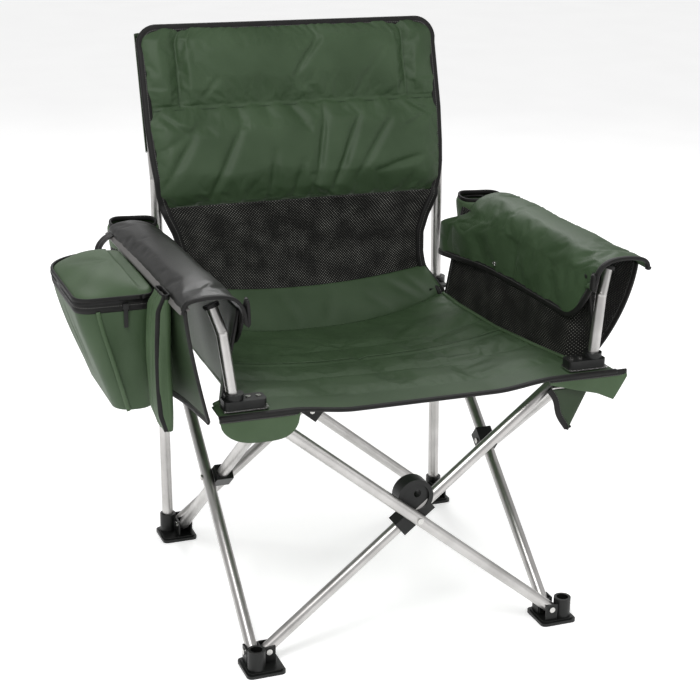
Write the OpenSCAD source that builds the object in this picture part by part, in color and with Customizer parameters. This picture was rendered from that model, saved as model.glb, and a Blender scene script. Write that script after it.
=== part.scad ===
// Folding camp chair: four crossing leg pairs, two back posts, two arm posts and soft goods.
// +X is the sitter's left-hand side, +Y points backwards, +Z is up, the floor is z = 0.

/* [Leg frame] */
// Distance between the pivots at neighbouring corners, frame open
pivot_span = 550; // [500:5:620]
// Height of the top pivots over the foot pivots, frame open
pivot_rise = 445; // [400:5:480]
// Height of the foot pivots over the floor
foot_pivot_h = 30; // [28:1:34]
// Outer diameter of the leg tubes
leg_d = 22; // [18:1:24]
// Wall of every steel tube
tube_wall = 1.5; // [1:0.25:2.5]
// Gap between the two tubes of a crossing
cross_gap = 4; // [4:0.5:6]
// Diameter of the rivet shanks
rivet_d = 6; // [5:0.5:7]
// Diameter of the rivet heads
rivet_head_d = 11; // [10:0.5:13]
// Running clearance round a rivet
rivet_clear = 0.15; // [0.1:0.05:0.3]

/* [Feet and corner fittings] */
// Side of the square foot flange
foot_w = 72; // [70:1:84]
// Thickness of the foot flange
foot_base_t = 9; // [6:1:11]
// Outer diameter of the peg socket on a foot
socket_d = 32; // [30:1:33]
// Height of the peg socket over the floor
socket_h = 46; // [38:1:52]
// Wall of the lugs that hold the tube ends
lug_t = 3; // [2.5:0.25:3.5]
// Clearance between a lug and its tube
lug_clear = 0.5; // [0.3:0.1:0.8]
// Outer diameter of the slider rings
ring_d = 40; // [38:1:44]
// Height of the slider rings
ring_h = 30; // [24:1:34]

/* [Back] */
// Diameter of the back posts
post_d = 22; // [19:1:23]
// Height of the bend in a back post over the top pivots
bend_rise = 275; // [270:5:305]
// Backward lean of a back post below its bend, in degrees
post_lean = 3; // [1:0.5:3.5]
// Backward lean of the back above the bend, in degrees
upper_lean = 18; // [8:1:22]
// Height of the top edge of the back over the bend
back_rise = 285; // [210:5:330]
// Reach of the padded back outside the middle of its posts
back_side = 11; // [4:1:18]
// Height of the lower hem of the padded back over the top pivots
hem_rise = 207; // [185:1:235]
// Height of the lower edge of the mesh band over the top pivots
mesh_rise = 45; // [40:1:60]
// Distance of the mesh band's sides inside the posts
waist_in = 41; // [38:1:60]

/* [Arms] */
// Height of the top of the arm covers over the top pivots
arm_rise = 225; // [195:5:255]
// Width of an arm cover
arm_w = 108; // [95:1:120]
// Distance of the arm posts' feet outside the leg corners
arm_post_out = 49; // [45:1:56]
// Diameter of the arm posts
arm_post_d = 20; // [18:1:21]
// Inner radius of the cup ring
cup_r = 42; // [38:1:46]

/* [Seat] */
// Thickness of the seat
seat_t = 8; // [6:1:9]
// Reach of the seat's front corners outside the arm posts
seat_side = 34; // [22:2:42]
// Drop of the seat from its front edge to its middle
seat_drop = 48; // [30:2:60]

/* [Cooler bag] */
// Width of the bag, away from the arm
bag_w = 146; // [120:2:160]
// Length of the bag, front to back
bag_l = 300; // [260:5:320]
// Depth of the bag under its lid
bag_h = 205; // [180:5:215]
// Wall of the bag's padded sides
bag_wall = 6; // [4:1:8]
// Thickness of the lid
lid_t = 14; // [10:1:16]

/* [Hidden] */
$fn = 48;

// soft goods keep this far from what they lie against
soft_gap = 0.4;
// offset of each tube's plane from the middle plane of its crossing
lane = (leg_d + cross_gap) / 2;
// the crossings' middle planes stand this far outside the pivots
plane_out = lane + 1;
half = pivot_span / 2;
corner = half + plane_out;
leg_len = norm([pivot_span, pivot_rise]);
open_angle = atan2(pivot_rise, pivot_span);
top_pivot_h = foot_pivot_h + pivot_rise;
cross_h = foot_pivot_h + pivot_rise / 2;
lug_in = leg_d / 2 + lug_clear;
lug_out = lug_in + lug_t;
lug_reach = 12;
arm_post_x = corner + arm_post_out;
seat_half_w = arm_post_x + seat_side;
bend_h = top_pivot_h + bend_rise;
back_h = bend_h + back_rise;
arm_h = top_pivot_h + arm_rise;
rivet_head_t = 2.5;
// the set end of a rivet is flat where the next tube's end is close
rivet_tail_t = 1.1;
pin_bore_d = rivet_d + 2 * rivet_clear;

// corner brackets: a plate under the fabric, a steel plate and a moulded block over it
lug_plate_z = top_pivot_h + leg_d / 2 + 2;
lug_plate_t = 6;
seat_front_z = lug_plate_z + lug_plate_t + soft_gap;
strip_z = seat_front_z + seat_t + soft_gap;
strip_t = 2.4;
block_z = strip_z + strip_t;
block_h = 24;
block_w = 34;
block_len = 74;
block_y = -corner - 4;
block_x = arm_post_x - block_len / 2 + 20;
bolt_d = 5;
bolt_clear = 0.5;

// back posts
post_in = 14;
post_foot_x = corner + post_in;
post_foot_y = corner + post_in;
post_foot_z = 25;
post_bend_y = post_foot_y + (bend_h - post_foot_z) * tan(post_lean);
post_top_z = back_h - 22;
post_slack = 3.2;
ring_z = top_pivot_h + lug_plate_t + 6;
function post_y(z) = z < bend_h
    ? post_foot_y + (z - post_foot_z) * tan(post_lean)
    : post_bend_y + (z - bend_h) * tan(upper_lean);

// arms
arm_in_x = arm_post_x - arm_post_d / 2 - 6;
arm_out_x = arm_in_x + arm_w;
arm_front_y = -corner - 24;
cup_tube = 5;
cup_y = half - 12;
cup_x = arm_in_x + cup_r + cup_tube;
cup_z = arm_h - 24;
arm_back_y = cup_y - cup_r - cup_tube - soft_gap;
arm_t = 14;
flap_t = 4;
arm_post_y = block_y;
cap_d = arm_post_d + 8;
cap_t = 6;
arm_low_tilt = 9;
arm_top_tilt = 22;
// both halves of an arm post lean this far round from straight outwards
arm_turn = 35;
arm_top_len = 46;
function arm_dir(tilt) = [sin(tilt) * cos(arm_turn), sin(tilt) * sin(arm_turn), cos(tilt)];
// the cover rests on the cap, so the post's height follows from the cover's
arm_tip_z = arm_h - arm_t - soft_gap - cap_t * cos(arm_top_tilt) - cap_d / 2 * sin(arm_top_tilt);
arm_bend_z = arm_tip_z - arm_top_len * cos(arm_top_tilt);
arm_start = [arm_post_x, arm_post_y, block_z + 3];
arm_low_len = (arm_bend_z - arm_start[2]) / cos(arm_low_tilt);
arm_tip = arm_start + arm_low_len * arm_dir(arm_low_tilt) + arm_top_len * arm_dir(arm_top_tilt);

// back panels
pad_t = 20;
back_half_w = post_foot_x + back_side;
waist_half_w = post_foot_x - waist_in;
hem_h = top_pivot_h + hem_rise;
mesh_low_z = top_pivot_h + mesh_rise;
back_low_z = seat_front_z - seat_drop - soft_gap;
back_low_t = 10;
back_low_y = half - 13;
back_face = post_d / 2 / cos(upper_lean) + 2 * soft_gap;
back_low_half_w = waist_half_w - 50;

// cooler bag, outside the left arm
bag_in_x = arm_out_x + soft_gap;
bag_mid_y = -8;
bag_top_z = arm_h - 36;
zip_band = 2;
bag_out_x = bag_in_x + bag_w;
bag_front_y = bag_mid_y - bag_l / 2;
lid_gap = 0.4;
pull_x = bag_in_x + 55.5;
sleeve_l = 66;
sleeve_gap = 27;

// the row's origin lies under the middle of the whole chair
left_reach = bag_out_x + zip_band;
right_reach = arm_out_x;
front_reach = corner + foot_w / 2;
rear_reach = post_y(post_top_z) + post_d / 2 * cos(upper_lean);
mid_x = (left_reach - right_reach) / 2;
mid_y = (front_reach - rear_reach) / 2;

// ---------------------------------------------------------------- shared shapes

// from the chair's own middle to the row's origin
module place() {
    translate([mid_x, mid_y, 0]) children();
}

// face 0 is the front, 1 the right-hand side of the drawing, 2 the rear, 3 the left
module at_face(face) {
    place() rotate([0, 0, 90 * face]) children();
}

// corner n lies at the left end of face n; x runs in along that face
module at_corner(n) {
    at_face(n) translate([-corner, -corner, 0]) children();
}

module rod(a, b, d) {
    v = b - a;
    tilt = acos(v[2] / norm(v));
    turn = atan2(v[1], v[0]);
    translate(a) rotate([0, tilt, turn]) cylinder(d = d, h = norm(v));
}

// a tube that rises along +Z, then runs on at an angle towards +Y, with a swaged bend between
module bent_tube(l0, l1, angle, d) {
    swage = 0.8;
    plug = 14;
    bore = d - 2 * tube_wall;
    difference() {
        union() {
            cylinder(d = d, h = l0);
            translate([0, 0, l0]) sphere(d = d + swage);
            translate([0, 0, l0]) rotate([-angle, 0, 0]) cylinder(d = d, h = l1);
        }
        translate([0, 0, -1]) cylinder(d = bore, h = l0 + 1 - plug);
        translate([0, 0, l0]) rotate([-angle, 0, 0]) translate([0, 0, plug])
            cylinder(d = bore, h = l1);
    }
}

// a cylinder along -Y ... +Y through a point
module y_pin(p, d, y0, y1) {
    translate([p[0], y1, p[1]]) rotate([90, 0, 0]) cylinder(d = d, h = y1 - y0);
}

module rounded_plate(w, l, r, t) {
    linear_extrude(t) {
        square([w - 2 * r, l], center = true);
        square([w, l - 2 * r], center = true);
        for (x = [r - w / 2, w / 2 - r])
            for (y = [r - l / 2, l / 2 - r])
                translate([x, y]) circle(r, $fn = 32);
    }
}

// a leg tube lying along +X from its foot pivot, bored across Y at both ends and its middle
module leg_tube() {
    plug = 16;
    difference() {
        union() {
            rotate([0, 90, 0]) cylinder(d = leg_d, h = leg_len);
            sphere(d = leg_d);
            translate([leg_len, 0, 0]) sphere(d = leg_d);
        }
        translate([plug, 0, 0]) rotate([0, 90, 0])
            cylinder(d = leg_d - 2 * tube_wall, h = leg_len - 2 * plug);
        for (x = [0, leg_len / 2, leg_len])
            y_pin([x, 0], pin_bore_d, -leg_d, leg_d);
    }
}

// the tube that starts at the face's left foot runs inside, the other one outside
module inner_leg(face) {
    color("silver") at_face(face)
        translate([-half, -corner + lane, foot_pivot_h])
            rotate([0, -open_angle, 0]) leg_tube();
}

module outer_leg(face) {
    color("silver") at_face(face)
        translate([half, -corner - lane, foot_pivot_h])
            rotate([0, 0, 180]) rotate([0, -open_angle, 0]) leg_tube();
}

// two walls beside a tube end whose pivot is at [x, y]; the tube runs off along +X
module x_lugs(x, y, z0, z1) {
    for (s = [-1, 1])
        translate([x - lug_reach, y + s * (lug_in + lug_t / 2) - lug_t / 2, z0])
            cube([2 * lug_reach, lug_t, z1 - z0]);
}

module y_lugs(x, y, z0, z1) {
    for (s = [-1, 1])
        translate([x + s * (lug_in + lug_t / 2) - lug_t / 2, y - lug_reach, z0])
            cube([lug_t, 2 * lug_reach, z1 - z0]);
}

// a rivet across Y with a head at each end, t0 and t1 thick
module rivet(p, y0, y1, t0 = rivet_head_t, t1 = rivet_head_t) {
    y_pin(p, rivet_d, y0, y1);
    y_pin(p, rivet_head_d, y0 - t0, y0);
    y_pin(p, rivet_head_d, y1, y1 + t1);
}

module across_x() {
    rotate([0, 0, 90]) children();
}

// ---------------------------------------------------------------- feet

module foot(n, post_bore) {
    color("#1e1f1e") at_corner(n) difference() {
        union() {
            rounded_plate(foot_w, foot_w, 10, foot_base_t - 3);
            rounded_plate(foot_w - 8, foot_w - 8, 8, foot_base_t);
            x_lugs(plane_out, lane, 0.5, foot_pivot_h + 9);
            y_lugs(-lane, plane_out, 0.5, foot_pivot_h + 9);
            translate([-post_in, -post_in, 0]) cylinder(d = socket_d, h = socket_h);
        }
        y_pin([plane_out, foot_pivot_h], pin_bore_d, lane - leg_d, lane + leg_d);
        across_x() y_pin([plane_out, foot_pivot_h], pin_bore_d, lane - leg_d, lane + leg_d);
        post_hole(n, post_bore);
    }
}

// the peg hole: upright on the front feet, leaning with the post on the rear feet
module post_hole(n, post_bore) {
    sit = foot_base_t + 0.6;
    translate([-post_in, -post_in, 0]) if (post_bore) {
        rotate([0, 0, -90 * n]) translate([0, 0, post_foot_z]) rotate([-post_lean, 0, 0])
            translate([0, 0, sit - post_foot_z]) cylinder(d = post_d + 1.4, h = socket_h);
    } else {
        translate([0, 0, sit]) cylinder(d = post_d, h = socket_h);
    }
}

module foot_rivets(n) {
    color("#c9c9c7") at_corner(n) {
        rivet([plane_out, foot_pivot_h], lane - lug_out, lane + lug_out);
        across_x() rivet([plane_out, foot_pivot_h], lane - lug_out, lane + lug_out, rivet_tail_t);
    }
}

// ---------------------------------------------------------------- top corners

// the lugs and their plate; the outer tube of face n and the inner tube of face n - 1 end here
module corner_lugs() {
    z0 = top_pivot_h - 9;
    x_lugs(plane_out, -lane, z0, lug_plate_z + 1);
    y_lugs(lane, plane_out, z0, lug_plate_z + 1);
    translate([-2, -lane - lug_out, lug_plate_z])
        cube([lane + lug_out + 2, lane + lug_out + plane_out + lug_reach, lug_plate_t]);
}

module corner_bores() {
    y_pin([plane_out, top_pivot_h], pin_bore_d, -lane - leg_d, -lane + leg_d);
    across_x() y_pin([plane_out, top_pivot_h], pin_bore_d, -lane - leg_d, -lane + leg_d);
}

module corner_rivets(n) {
    color("#c9c9c7") at_corner(n) {
        rivet([plane_out, top_pivot_h], -lane - lug_out, -lane + lug_out, rivet_head_t, rivet_tail_t);
        across_x() rivet([plane_out, top_pivot_h], -lane - lug_out, -lane + lug_out);
    }
}

// centres of the bolts that clamp a bracket's three layers, side is -1 left or 1 right
function bolt_spots(side) = [for (x = [block_x - 26, block_x - 8]) [side * x, block_y]];

module bolt_holes(side, d) {
    for (p = bolt_spots(side))
        translate([p[0], p[1], lug_plate_z - 1]) cylinder(d = d, h = 60);
}

module bracket(side, n) {
    color("#1e1f1e") difference() {
        union() {
            at_corner(n) corner_lugs();
            place() translate([side * block_x, block_y, lug_plate_z])
                rounded_plate(block_len, block_w, 6, lug_plate_t);
        }
        at_corner(n) corner_bores();
        place() bolt_holes(side, bolt_d);
    }
}

module bracket_plate(side) {
    color("#d8d8d6") place() difference() {
        translate([side * block_x, block_y - 3, strip_z])
            rounded_plate(block_len + 6, block_w + 4, 8, strip_t);
        bolt_holes(side, bolt_d + bolt_clear);
        translate([side * arm_post_x, arm_post_y, strip_z - 1])
            cylinder(d = arm_post_d - 6, h = strip_t + 2);
    }
}

module socket_block(side) {
    color("#232323") place() difference() {
        union() {
            translate([side * block_x, block_y, block_z])
                rounded_plate(block_len, block_w, 8, block_h - 10);
            translate([side * arm_post_x, arm_post_y, block_z])
                cylinder(d = arm_post_d + 13, h = block_h);
        }
        along_arm_post(side) cylinder(d = arm_post_d + 0.3, h = 2 * block_h);
        bolt_holes(side, bolt_d + bolt_clear);
    }
}

module bracket_rivets(side, n) {
    corner_rivets(n);
    color("#c9c9c7") place() for (p = bolt_spots(side)) {
        translate([p[0], p[1], lug_plate_z]) cylinder(d = bolt_d, h = block_z + block_h - 10 - lug_plate_z);
        translate([p[0], p[1], block_z + block_h - 10]) cylinder(d = bolt_d + 4, h = 2);
    }
}

module slider(side, n) {
    sx = side * post_foot_x;
    py = post_y(ring_z);
    bar_w = 24;
    color("#1e1f1e") difference() {
        union() {
            at_corner(n) corner_lugs();
            place() translate([sx, py, ring_z - ring_h / 2]) cylinder(d = ring_d, h = ring_h);
            place() translate([sx - bar_w / 2 - side * 3, half + 6, lug_plate_z])
                cube([bar_w, py - half - 6, lug_plate_t]);
        }
        at_corner(n) corner_bores();
        place() translate([sx, py, ring_z]) rotate([-post_lean, 0, 0]) slot_bore();
    }
}

// a post bore stretched backwards, for the post's change of lean on the way up
module slot_bore() {
    d = post_d + 1;
    h = ring_h + 12;
    for (y = [0, post_slack])
        translate([0, y, -h / 2]) cylinder(d = d, h = h);
    translate([-d / 2, 0, -h / 2]) cube([d, post_slack, h]);
}

// ---------------------------------------------------------------- crossings

// a clamp round the inner tube, drawn along +X at its middle
module saddle_shape(len) {
    back = 7;
    translate([-len / 2, -leg_d / 2 - cross_gap + 0.6, -leg_d / 2 - 4])
        cube([len, leg_d + cross_gap - 0.6 + back, leg_d + 8]);
}

module saddle_cut() {
    translate([-60, 0, 0]) rotate([0, 90, 0]) cylinder(d = leg_d + 0.4, h = 120);
    y_pin([0, 0], pin_bore_d, -leg_d - 10, leg_d + 10);
}

module at_cross(face) {
    at_face(face) translate([0, -corner + lane, cross_h]) rotate([0, -open_angle, 0]) children();
}

module saddle(face) {
    color("#1e1f1e") at_cross(face) difference() {
        saddle_shape(44);
        saddle_cut();
    }
}

// the front crossing carries a round boss with a dished front and a hole through it
module front_hub() {
    boss_d = 68;
    boss_rise = 36;
    rim = 8;
    hole_d = 14;
    hole_off = 5;
    dish_y = -9;
    color("#1e1f1e") at_cross(0) difference() {
        union() {
            saddle_shape(74);
            rotate([0, open_angle, 0])
                y_pin([0, boss_rise], boss_d, -leg_d / 2 - cross_gap + 1, leg_d / 2 + 5);
        }
        saddle_cut();
        rotate([0, open_angle, 0]) y_pin([hole_off, boss_rise + hole_off], hole_d, -leg_d, 2 * leg_d);
        rotate([0, open_angle, 0]) y_pin([0, boss_rise], boss_d - 2 * rim, -leg_d, dish_y);
    }
}

module cross_rivet(face) {
    color("#c9c9c7") at_cross(face)
        rivet([0, 0], -leg_d * 1.5 - cross_gap, leg_d / 2 + 7);
}

// ---------------------------------------------------------------- posts

module back_post(side) {
    low_end = 14;
    l0 = (bend_h - post_foot_z) / cos(post_lean) + low_end;
    l1 = (post_top_z - bend_h) / cos(upper_lean);
    color("silver") place()
        translate([side * post_foot_x, post_foot_y, post_foot_z]) rotate([-post_lean, 0, 0])
            translate([0, 0, -low_end])
                bent_tube(l0, l1, upper_lean - post_lean, post_d);
}

// mirrors a right-hand point to the given side
function sided(p, side) = [side * p[0], p[1], p[2]];

// +Z runs up the lower half of the arm post, which leans outwards and back
module along_arm_post(side) {
    translate(sided(arm_start, side)) rotate([0, 0, side * (arm_turn - 90)])
        rotate([-arm_low_tilt, 0, 0]) children();
}

module arm_post(side) {
    color("silver") place() along_arm_post(side)
        bent_tube(arm_low_len, arm_top_len, arm_top_tilt - arm_low_tilt, arm_post_d);
}

module arm_post_cap(side) {
    tip = sided(arm_tip, side);
    color("#2a2a2a") place() rod(tip, tip + cap_t * sided(arm_dir(arm_top_tilt), side), cap_d);
}

// ---------------------------------------------------------------- soft goods

// a slab from a side outline of [y, z] points, from x0 to x1
module side_slab(points, x0, x1) {
    translate([x0, 0, 0]) rotate([90, 0, 90]) linear_extrude(x1 - x0) polygon(points);
}

module seat_front() {
    edge_y = -corner - 35;
    flat_y = -half + 20;
    mid_z = seat_front_z - seat_drop;
    color("#465541") place() difference() {
        side_slab([[edge_y, seat_front_z], [flat_y, seat_front_z], [-soft_gap, mid_z],
            [-soft_gap, mid_z + seat_t], [flat_y, seat_front_z + seat_t], [edge_y, seat_front_z + seat_t]],
            -seat_half_w, seat_half_w);
        for (side = [-1, 1]) bolt_holes(side, bolt_d + 1);
    }
}

module seat_rear() {
    mid_z = seat_front_z - seat_drop;
    end_y = back_low_y - back_low_t - soft_gap;
    half_w = corner - lane - lug_out;
    color("#465541") place()
        side_slab([[0, mid_z], [end_y, mid_z - 6], [end_y, mid_z + seat_t - 6], [0, mid_z + seat_t]],
            -half_w, half_w);
}

module back_upper() {
    low_y = post_y(hem_h) - back_face;
    bend_y = post_y(bend_h) - back_face;
    top_y = post_y(back_h) - back_face;
    color("#41503d") place()
        side_slab([[low_y, hem_h], [bend_y, bend_h], [top_y, back_h], [top_y - pad_t, back_h],
            [bend_y - pad_t, bend_h], [low_y - pad_t, hem_h]], -back_half_w, back_half_w);
}

module back_mesh() {
    y_top = post_y(hem_h) - back_face - pad_t / 2;
    y_low = post_y(mesh_low_z) - 16;
    color("#30302f") place()
        side_slab([[y_low, mesh_low_z], [y_top, hem_h - soft_gap], [y_top - 5, hem_h - soft_gap],
            [y_low - 5, mesh_low_z]], -waist_half_w, waist_half_w);
}

module back_lower() {
    y_top = post_y(mesh_low_z) - 16;
    color("#3d4b39") place()
        side_slab([[back_low_y, back_low_z], [y_top, mesh_low_z - soft_gap],
            [y_top - back_low_t, mesh_low_z - soft_gap], [back_low_y - back_low_t, back_low_z]],
            -back_low_half_w, back_low_half_w);
}

// the cover's top with a flap down each side
module arm_cover(side) {
    flap_h = 120;
    x0 = side < 0 ? -arm_out_x : arm_in_x;
    len = arm_back_y - arm_front_y;
    color(side < 0 ? "#40403f" : "#465541") place() {
        translate([x0, arm_front_y, arm_h - flap_h]) difference() {
            cube([arm_w, len, flap_h]);
            translate([flap_t, -1, -1]) cube([arm_w - 2 * flap_t, len + 2, flap_h - arm_t + 1]);
        }
    }
}

module side_panel(side) {
    low_z = block_z + block_h + 2;
    x = side < 0 ? -arm_in_x + soft_gap : arm_in_x - flap_t - soft_gap;
    y0 = block_y + block_w / 2 + 4;
    color(side < 0 ? "#3d4b39" : "#292929") place()
        translate([x, y0, low_z]) cube([flap_t, half - y0, arm_h - 6 - low_z]);
}

module cup_ring(side) {
    color("#232323") place() translate([side * cup_x, cup_y, cup_z])
        rotate_extrude() translate([cup_r + cup_tube / 2, 0]) circle(d = cup_tube, $fn = 24);
}

// half-moon flap in front of a front corner
module corner_flap(side) {
    y0 = -corner - lane - lug_out - rivet_head_t - 4;
    flap_mid_x = corner + 1;
    flap_top = seat_front_z - soft_gap;
    flap_r = 54;
    flap_half_w = 62;
    cloth_t = 3;
    color("#485643") place() intersection() {
        translate([side * flap_mid_x - flap_half_w, y0, flap_top - flap_r])
            cube([2 * flap_half_w, cloth_t, flap_r]);
        translate([side * flap_mid_x, y0 + cloth_t, flap_top]) rotate([90, 0, 0])
            scale([1.15, 1, 1]) cylinder(r = flap_r, h = cloth_t);
    }
}

module bag_outline(grow, top) {
    taper = 26;
    bag_corner_r = 21;
    w0 = bag_w - 2 * taper;
    z0 = bag_top_z - bag_h;
    side_len = bag_l / 2;
    hull() {
        translate([-bag_in_x - bag_w / 2 + taper / 2, bag_mid_y, z0 + grow])
            rounded_plate(w0 + taper - 2 * grow, 2 * side_len - 2 * taper - 2 * grow, bag_corner_r - 2 * grow, 1);
        translate([-bag_in_x - bag_w / 2, bag_mid_y, top - 1])
            rounded_plate(bag_w - 2 * grow, 2 * side_len - 2 * grow, bag_corner_r - 2 * grow, 1);
    }
}

module cooler_body() {
    color("#4a5946") place() {
        difference() {
            bag_outline(0, bag_top_z);
            bag_outline(bag_wall, bag_top_z + 1);
        }
        difference() {
            translate([-bag_in_x - bag_w / 2 - zip_band / 2, bag_mid_y, bag_top_z - 16])
                rounded_plate(bag_w + zip_band, bag_l + 2 * zip_band, 23, 14);
            translate([-bag_in_x - bag_w / 2, bag_mid_y, bag_top_z - 20])
                rounded_plate(bag_w - 2 * bag_wall, bag_l - 2 * bag_wall, 22, 30);
        }
    }
}

module cooler_lid() {
    color("#576553") place()
        translate([-bag_in_x - bag_w / 2, bag_mid_y, bag_top_z + lid_gap])
            rounded_plate(bag_w, bag_l, 22, lid_t);
}

// slider body and its dangling tab on the front of the zip band
module zip_pull() {
    y = bag_front_y - zip_band - 0.2;
    color("#1a1a1a") place() {
        translate([-pull_x - 5, y - 4, bag_top_z - 14]) cube([10, 4, 10]);
        translate([-pull_x - 3.5, y - 3, bag_top_z - 46]) cube([7, 2.4, 32]);
    }
}

module bottle_sleeve() {
    sleeve_t = 22;
    color("#4a5946") place()
        translate([-arm_out_x - soft_gap - sleeve_t, bag_front_y - sleeve_gap - sleeve_l, arm_h - 242])
            cube([sleeve_t, sleeve_l, 234]);
}

// ---------------------------------------------------------------- nodes

foot(0, false);  // foot_front_left
foot(1, false);  // foot_front_right
foot(2, true);  // foot_rear_right
foot(3, true);  // foot_rear_left
inner_leg(0);  // front_leg_inner
outer_leg(0);  // front_leg_outer
inner_leg(1);  // right_leg_inner
outer_leg(1);  // right_leg_outer
inner_leg(2);  // rear_leg_inner
outer_leg(2);  // rear_leg_outer
inner_leg(3);  // left_leg_inner
outer_leg(3);  // left_leg_outer
back_post(-1);  // back_post_left
back_post(1);  // back_post_right
arm_post(-1);  // arm_post_left
arm_post(1);  // arm_post_right
arm_post_cap(-1);  // arm_post_cap_left
arm_post_cap(1);  // arm_post_cap_right
bracket(-1, 0);  // bracket_left
bracket(1, 1);  // bracket_right
socket_block(-1);  // socket_block_left
socket_block(1);  // socket_block_right
bracket_plate(-1);  // bracket_plate_left
bracket_plate(1);  // bracket_plate_right
slider(-1, 3);  // slider_left
slider(1, 2);  // slider_right
front_hub();
saddle(2);  // rear_saddle
saddle(3);  // left_saddle
saddle(1);  // right_saddle
foot_rivets(0);  // foot_rivets_front_left
foot_rivets(1);  // foot_rivets_front_right
foot_rivets(2);  // foot_rivets_rear_right
foot_rivets(3);  // foot_rivets_rear_left
cross_rivet(0);  // cross_rivet_front
cross_rivet(1);  // cross_rivet_right
cross_rivet(2);  // cross_rivet_rear
cross_rivet(3);  // cross_rivet_left
bracket_rivets(-1, 0);  // bracket_rivets_left
bracket_rivets(1, 1);  // bracket_rivets_right
corner_rivets(2);  // slider_rivets_right
corner_rivets(3);  // slider_rivets_left
seat_front();
seat_rear();
back_upper();
back_mesh();
back_lower();
arm_cover(-1);  // arm_cover_left
arm_cover(1);  // arm_cover_right
side_panel(-1);  // side_panel_left
side_panel(1);  // side_panel_right
cup_ring(-1);  // cup_ring_left
cup_ring(1);  // cup_ring_right
corner_flap(-1);  // corner_flap_left
corner_flap(1);  // corner_flap_right
cooler_body();
cooler_lid();
zip_pull();
bottle_sleeve();
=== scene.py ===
"""Looks of the folding camp chair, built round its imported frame.

Lengths are in millimetres, in the chair's own frame, until a mesh is made.
"""
import math

import bmesh
import bpy
import numpy as np
from mathutils import Matrix, Vector


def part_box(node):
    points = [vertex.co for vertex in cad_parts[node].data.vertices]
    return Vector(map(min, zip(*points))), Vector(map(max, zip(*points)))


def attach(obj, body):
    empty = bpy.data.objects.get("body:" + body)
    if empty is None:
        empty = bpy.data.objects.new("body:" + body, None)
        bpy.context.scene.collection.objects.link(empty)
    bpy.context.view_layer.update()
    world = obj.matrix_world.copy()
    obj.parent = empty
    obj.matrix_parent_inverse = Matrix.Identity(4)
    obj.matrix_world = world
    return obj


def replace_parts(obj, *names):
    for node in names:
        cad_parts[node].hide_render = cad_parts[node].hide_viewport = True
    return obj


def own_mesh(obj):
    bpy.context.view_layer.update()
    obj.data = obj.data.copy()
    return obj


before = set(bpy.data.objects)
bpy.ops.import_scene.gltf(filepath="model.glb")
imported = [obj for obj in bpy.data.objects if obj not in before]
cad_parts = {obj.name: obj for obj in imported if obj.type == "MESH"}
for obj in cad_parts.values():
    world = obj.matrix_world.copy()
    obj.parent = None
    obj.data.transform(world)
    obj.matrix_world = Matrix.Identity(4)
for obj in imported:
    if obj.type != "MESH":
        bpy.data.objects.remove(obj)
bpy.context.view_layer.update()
bpy.ops.object.select_all(action="DESELECT")

MM = 0.001
LEFT, RIGHT = -1, 1
SIDE_NAME = {LEFT: "left", RIGHT: "right"}


def corner(node, which):
    """A corner of a CAD node's box in millimetres: 0 the lowest, 1 the highest."""
    return np.array(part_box(node)[which]) / MM


# ---------------------------------------------------------------- sizes read from the frame

middle = np.array([
    (corner("foot_front_left", 0)[0] + corner("foot_front_right", 1)[0]) / 2,
    (corner("foot_front_left", 0)[1] + corner("foot_rear_left", 1)[1]) / 2,
    0.0,
])
seat_top = corner("seat_front", 1)[2]
seat_front_y = corner("seat_front", 0)[1] - middle[1]
seat_half = (corner("seat_front", 1)[0] - corner("seat_front", 0)[0]) / 2
back_half = (corner("back_upper", 1)[0] - corner("back_upper", 0)[0]) / 2
back_top = corner("back_upper", 1)[2]
hem_z = corner("back_upper", 0)[2]
mesh_low_z = corner("back_mesh", 0)[2]
arm_top = corner("arm_cover_right", 1)[2]
arm_in = corner("arm_cover_right", 0)[0] - middle[0]
arm_out = corner("arm_cover_right", 1)[0] - middle[0]
arm_front = corner("arm_cover_right", 0)[1] - middle[1]
arm_rear = corner("arm_cover_right", 1)[1] - middle[1]
post_front_y = corner("back_post_right", 0)[1] - middle[1]
post_x = corner("back_post_right", 1)[0] - middle[0] - 11
bag_low = corner("cooler_body", 0) - middle
bag_high = corner("cooler_body", 1) - middle
lid_high = corner("cooler_lid", 1) - middle
sleeve_low = corner("bottle_sleeve", 0) - middle
sleeve_high = corner("bottle_sleeve", 1) - middle
panel_low_z = corner("side_panel_right", 0)[2]

POST_LEAN = math.radians(3)
UPPER_LEAN = math.radians(18)
BEND_Z = 750.0


def smooth(x, low, high):
    t = np.clip((x - low) / (high - low), 0, 1)
    return t * t * (3 - 2 * t)


def post_y(z):
    """Middle of the back posts at a height."""
    low = post_front_y + 15 + (z - 11) * math.tan(POST_LEAN)
    bend = post_front_y + 15 + (BEND_Z - 11) * math.tan(POST_LEAN)
    return np.where(z < BEND_Z, low, bend + (z - BEND_Z) * math.tan(UPPER_LEAN))


# ---------------------------------------------------------------- camera, floor and light

CAMERA_TURN = (-21.25, 18.99, 0.974)    # azimuth, elevation and roll in degrees
CAMERA_PLACE = (-1070, -2705, 1473)
CAMERA_LENS = 83.05
SKY_ON_CHAIR, SKY_SEEN = 0.5, 1.0       # the world's strength as a light and as a backdrop
FLOOR_SIZE = 40                         # metres, so that the floor runs out of sight
LAMPS = (                               # name, place, aim and size in metres, and watts
    ("key", (-1.6, -2.2, 3.4), (0, 0, 0.5), 1.3, 78),
    ("fill", (2.8, -2.0, 1.8), (0, 0, 0.5), 2.4, 14),
    ("rim", (0.9, 2.6, 2.9), (0, 0, 0.7), 1.6, 46),
)


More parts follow.
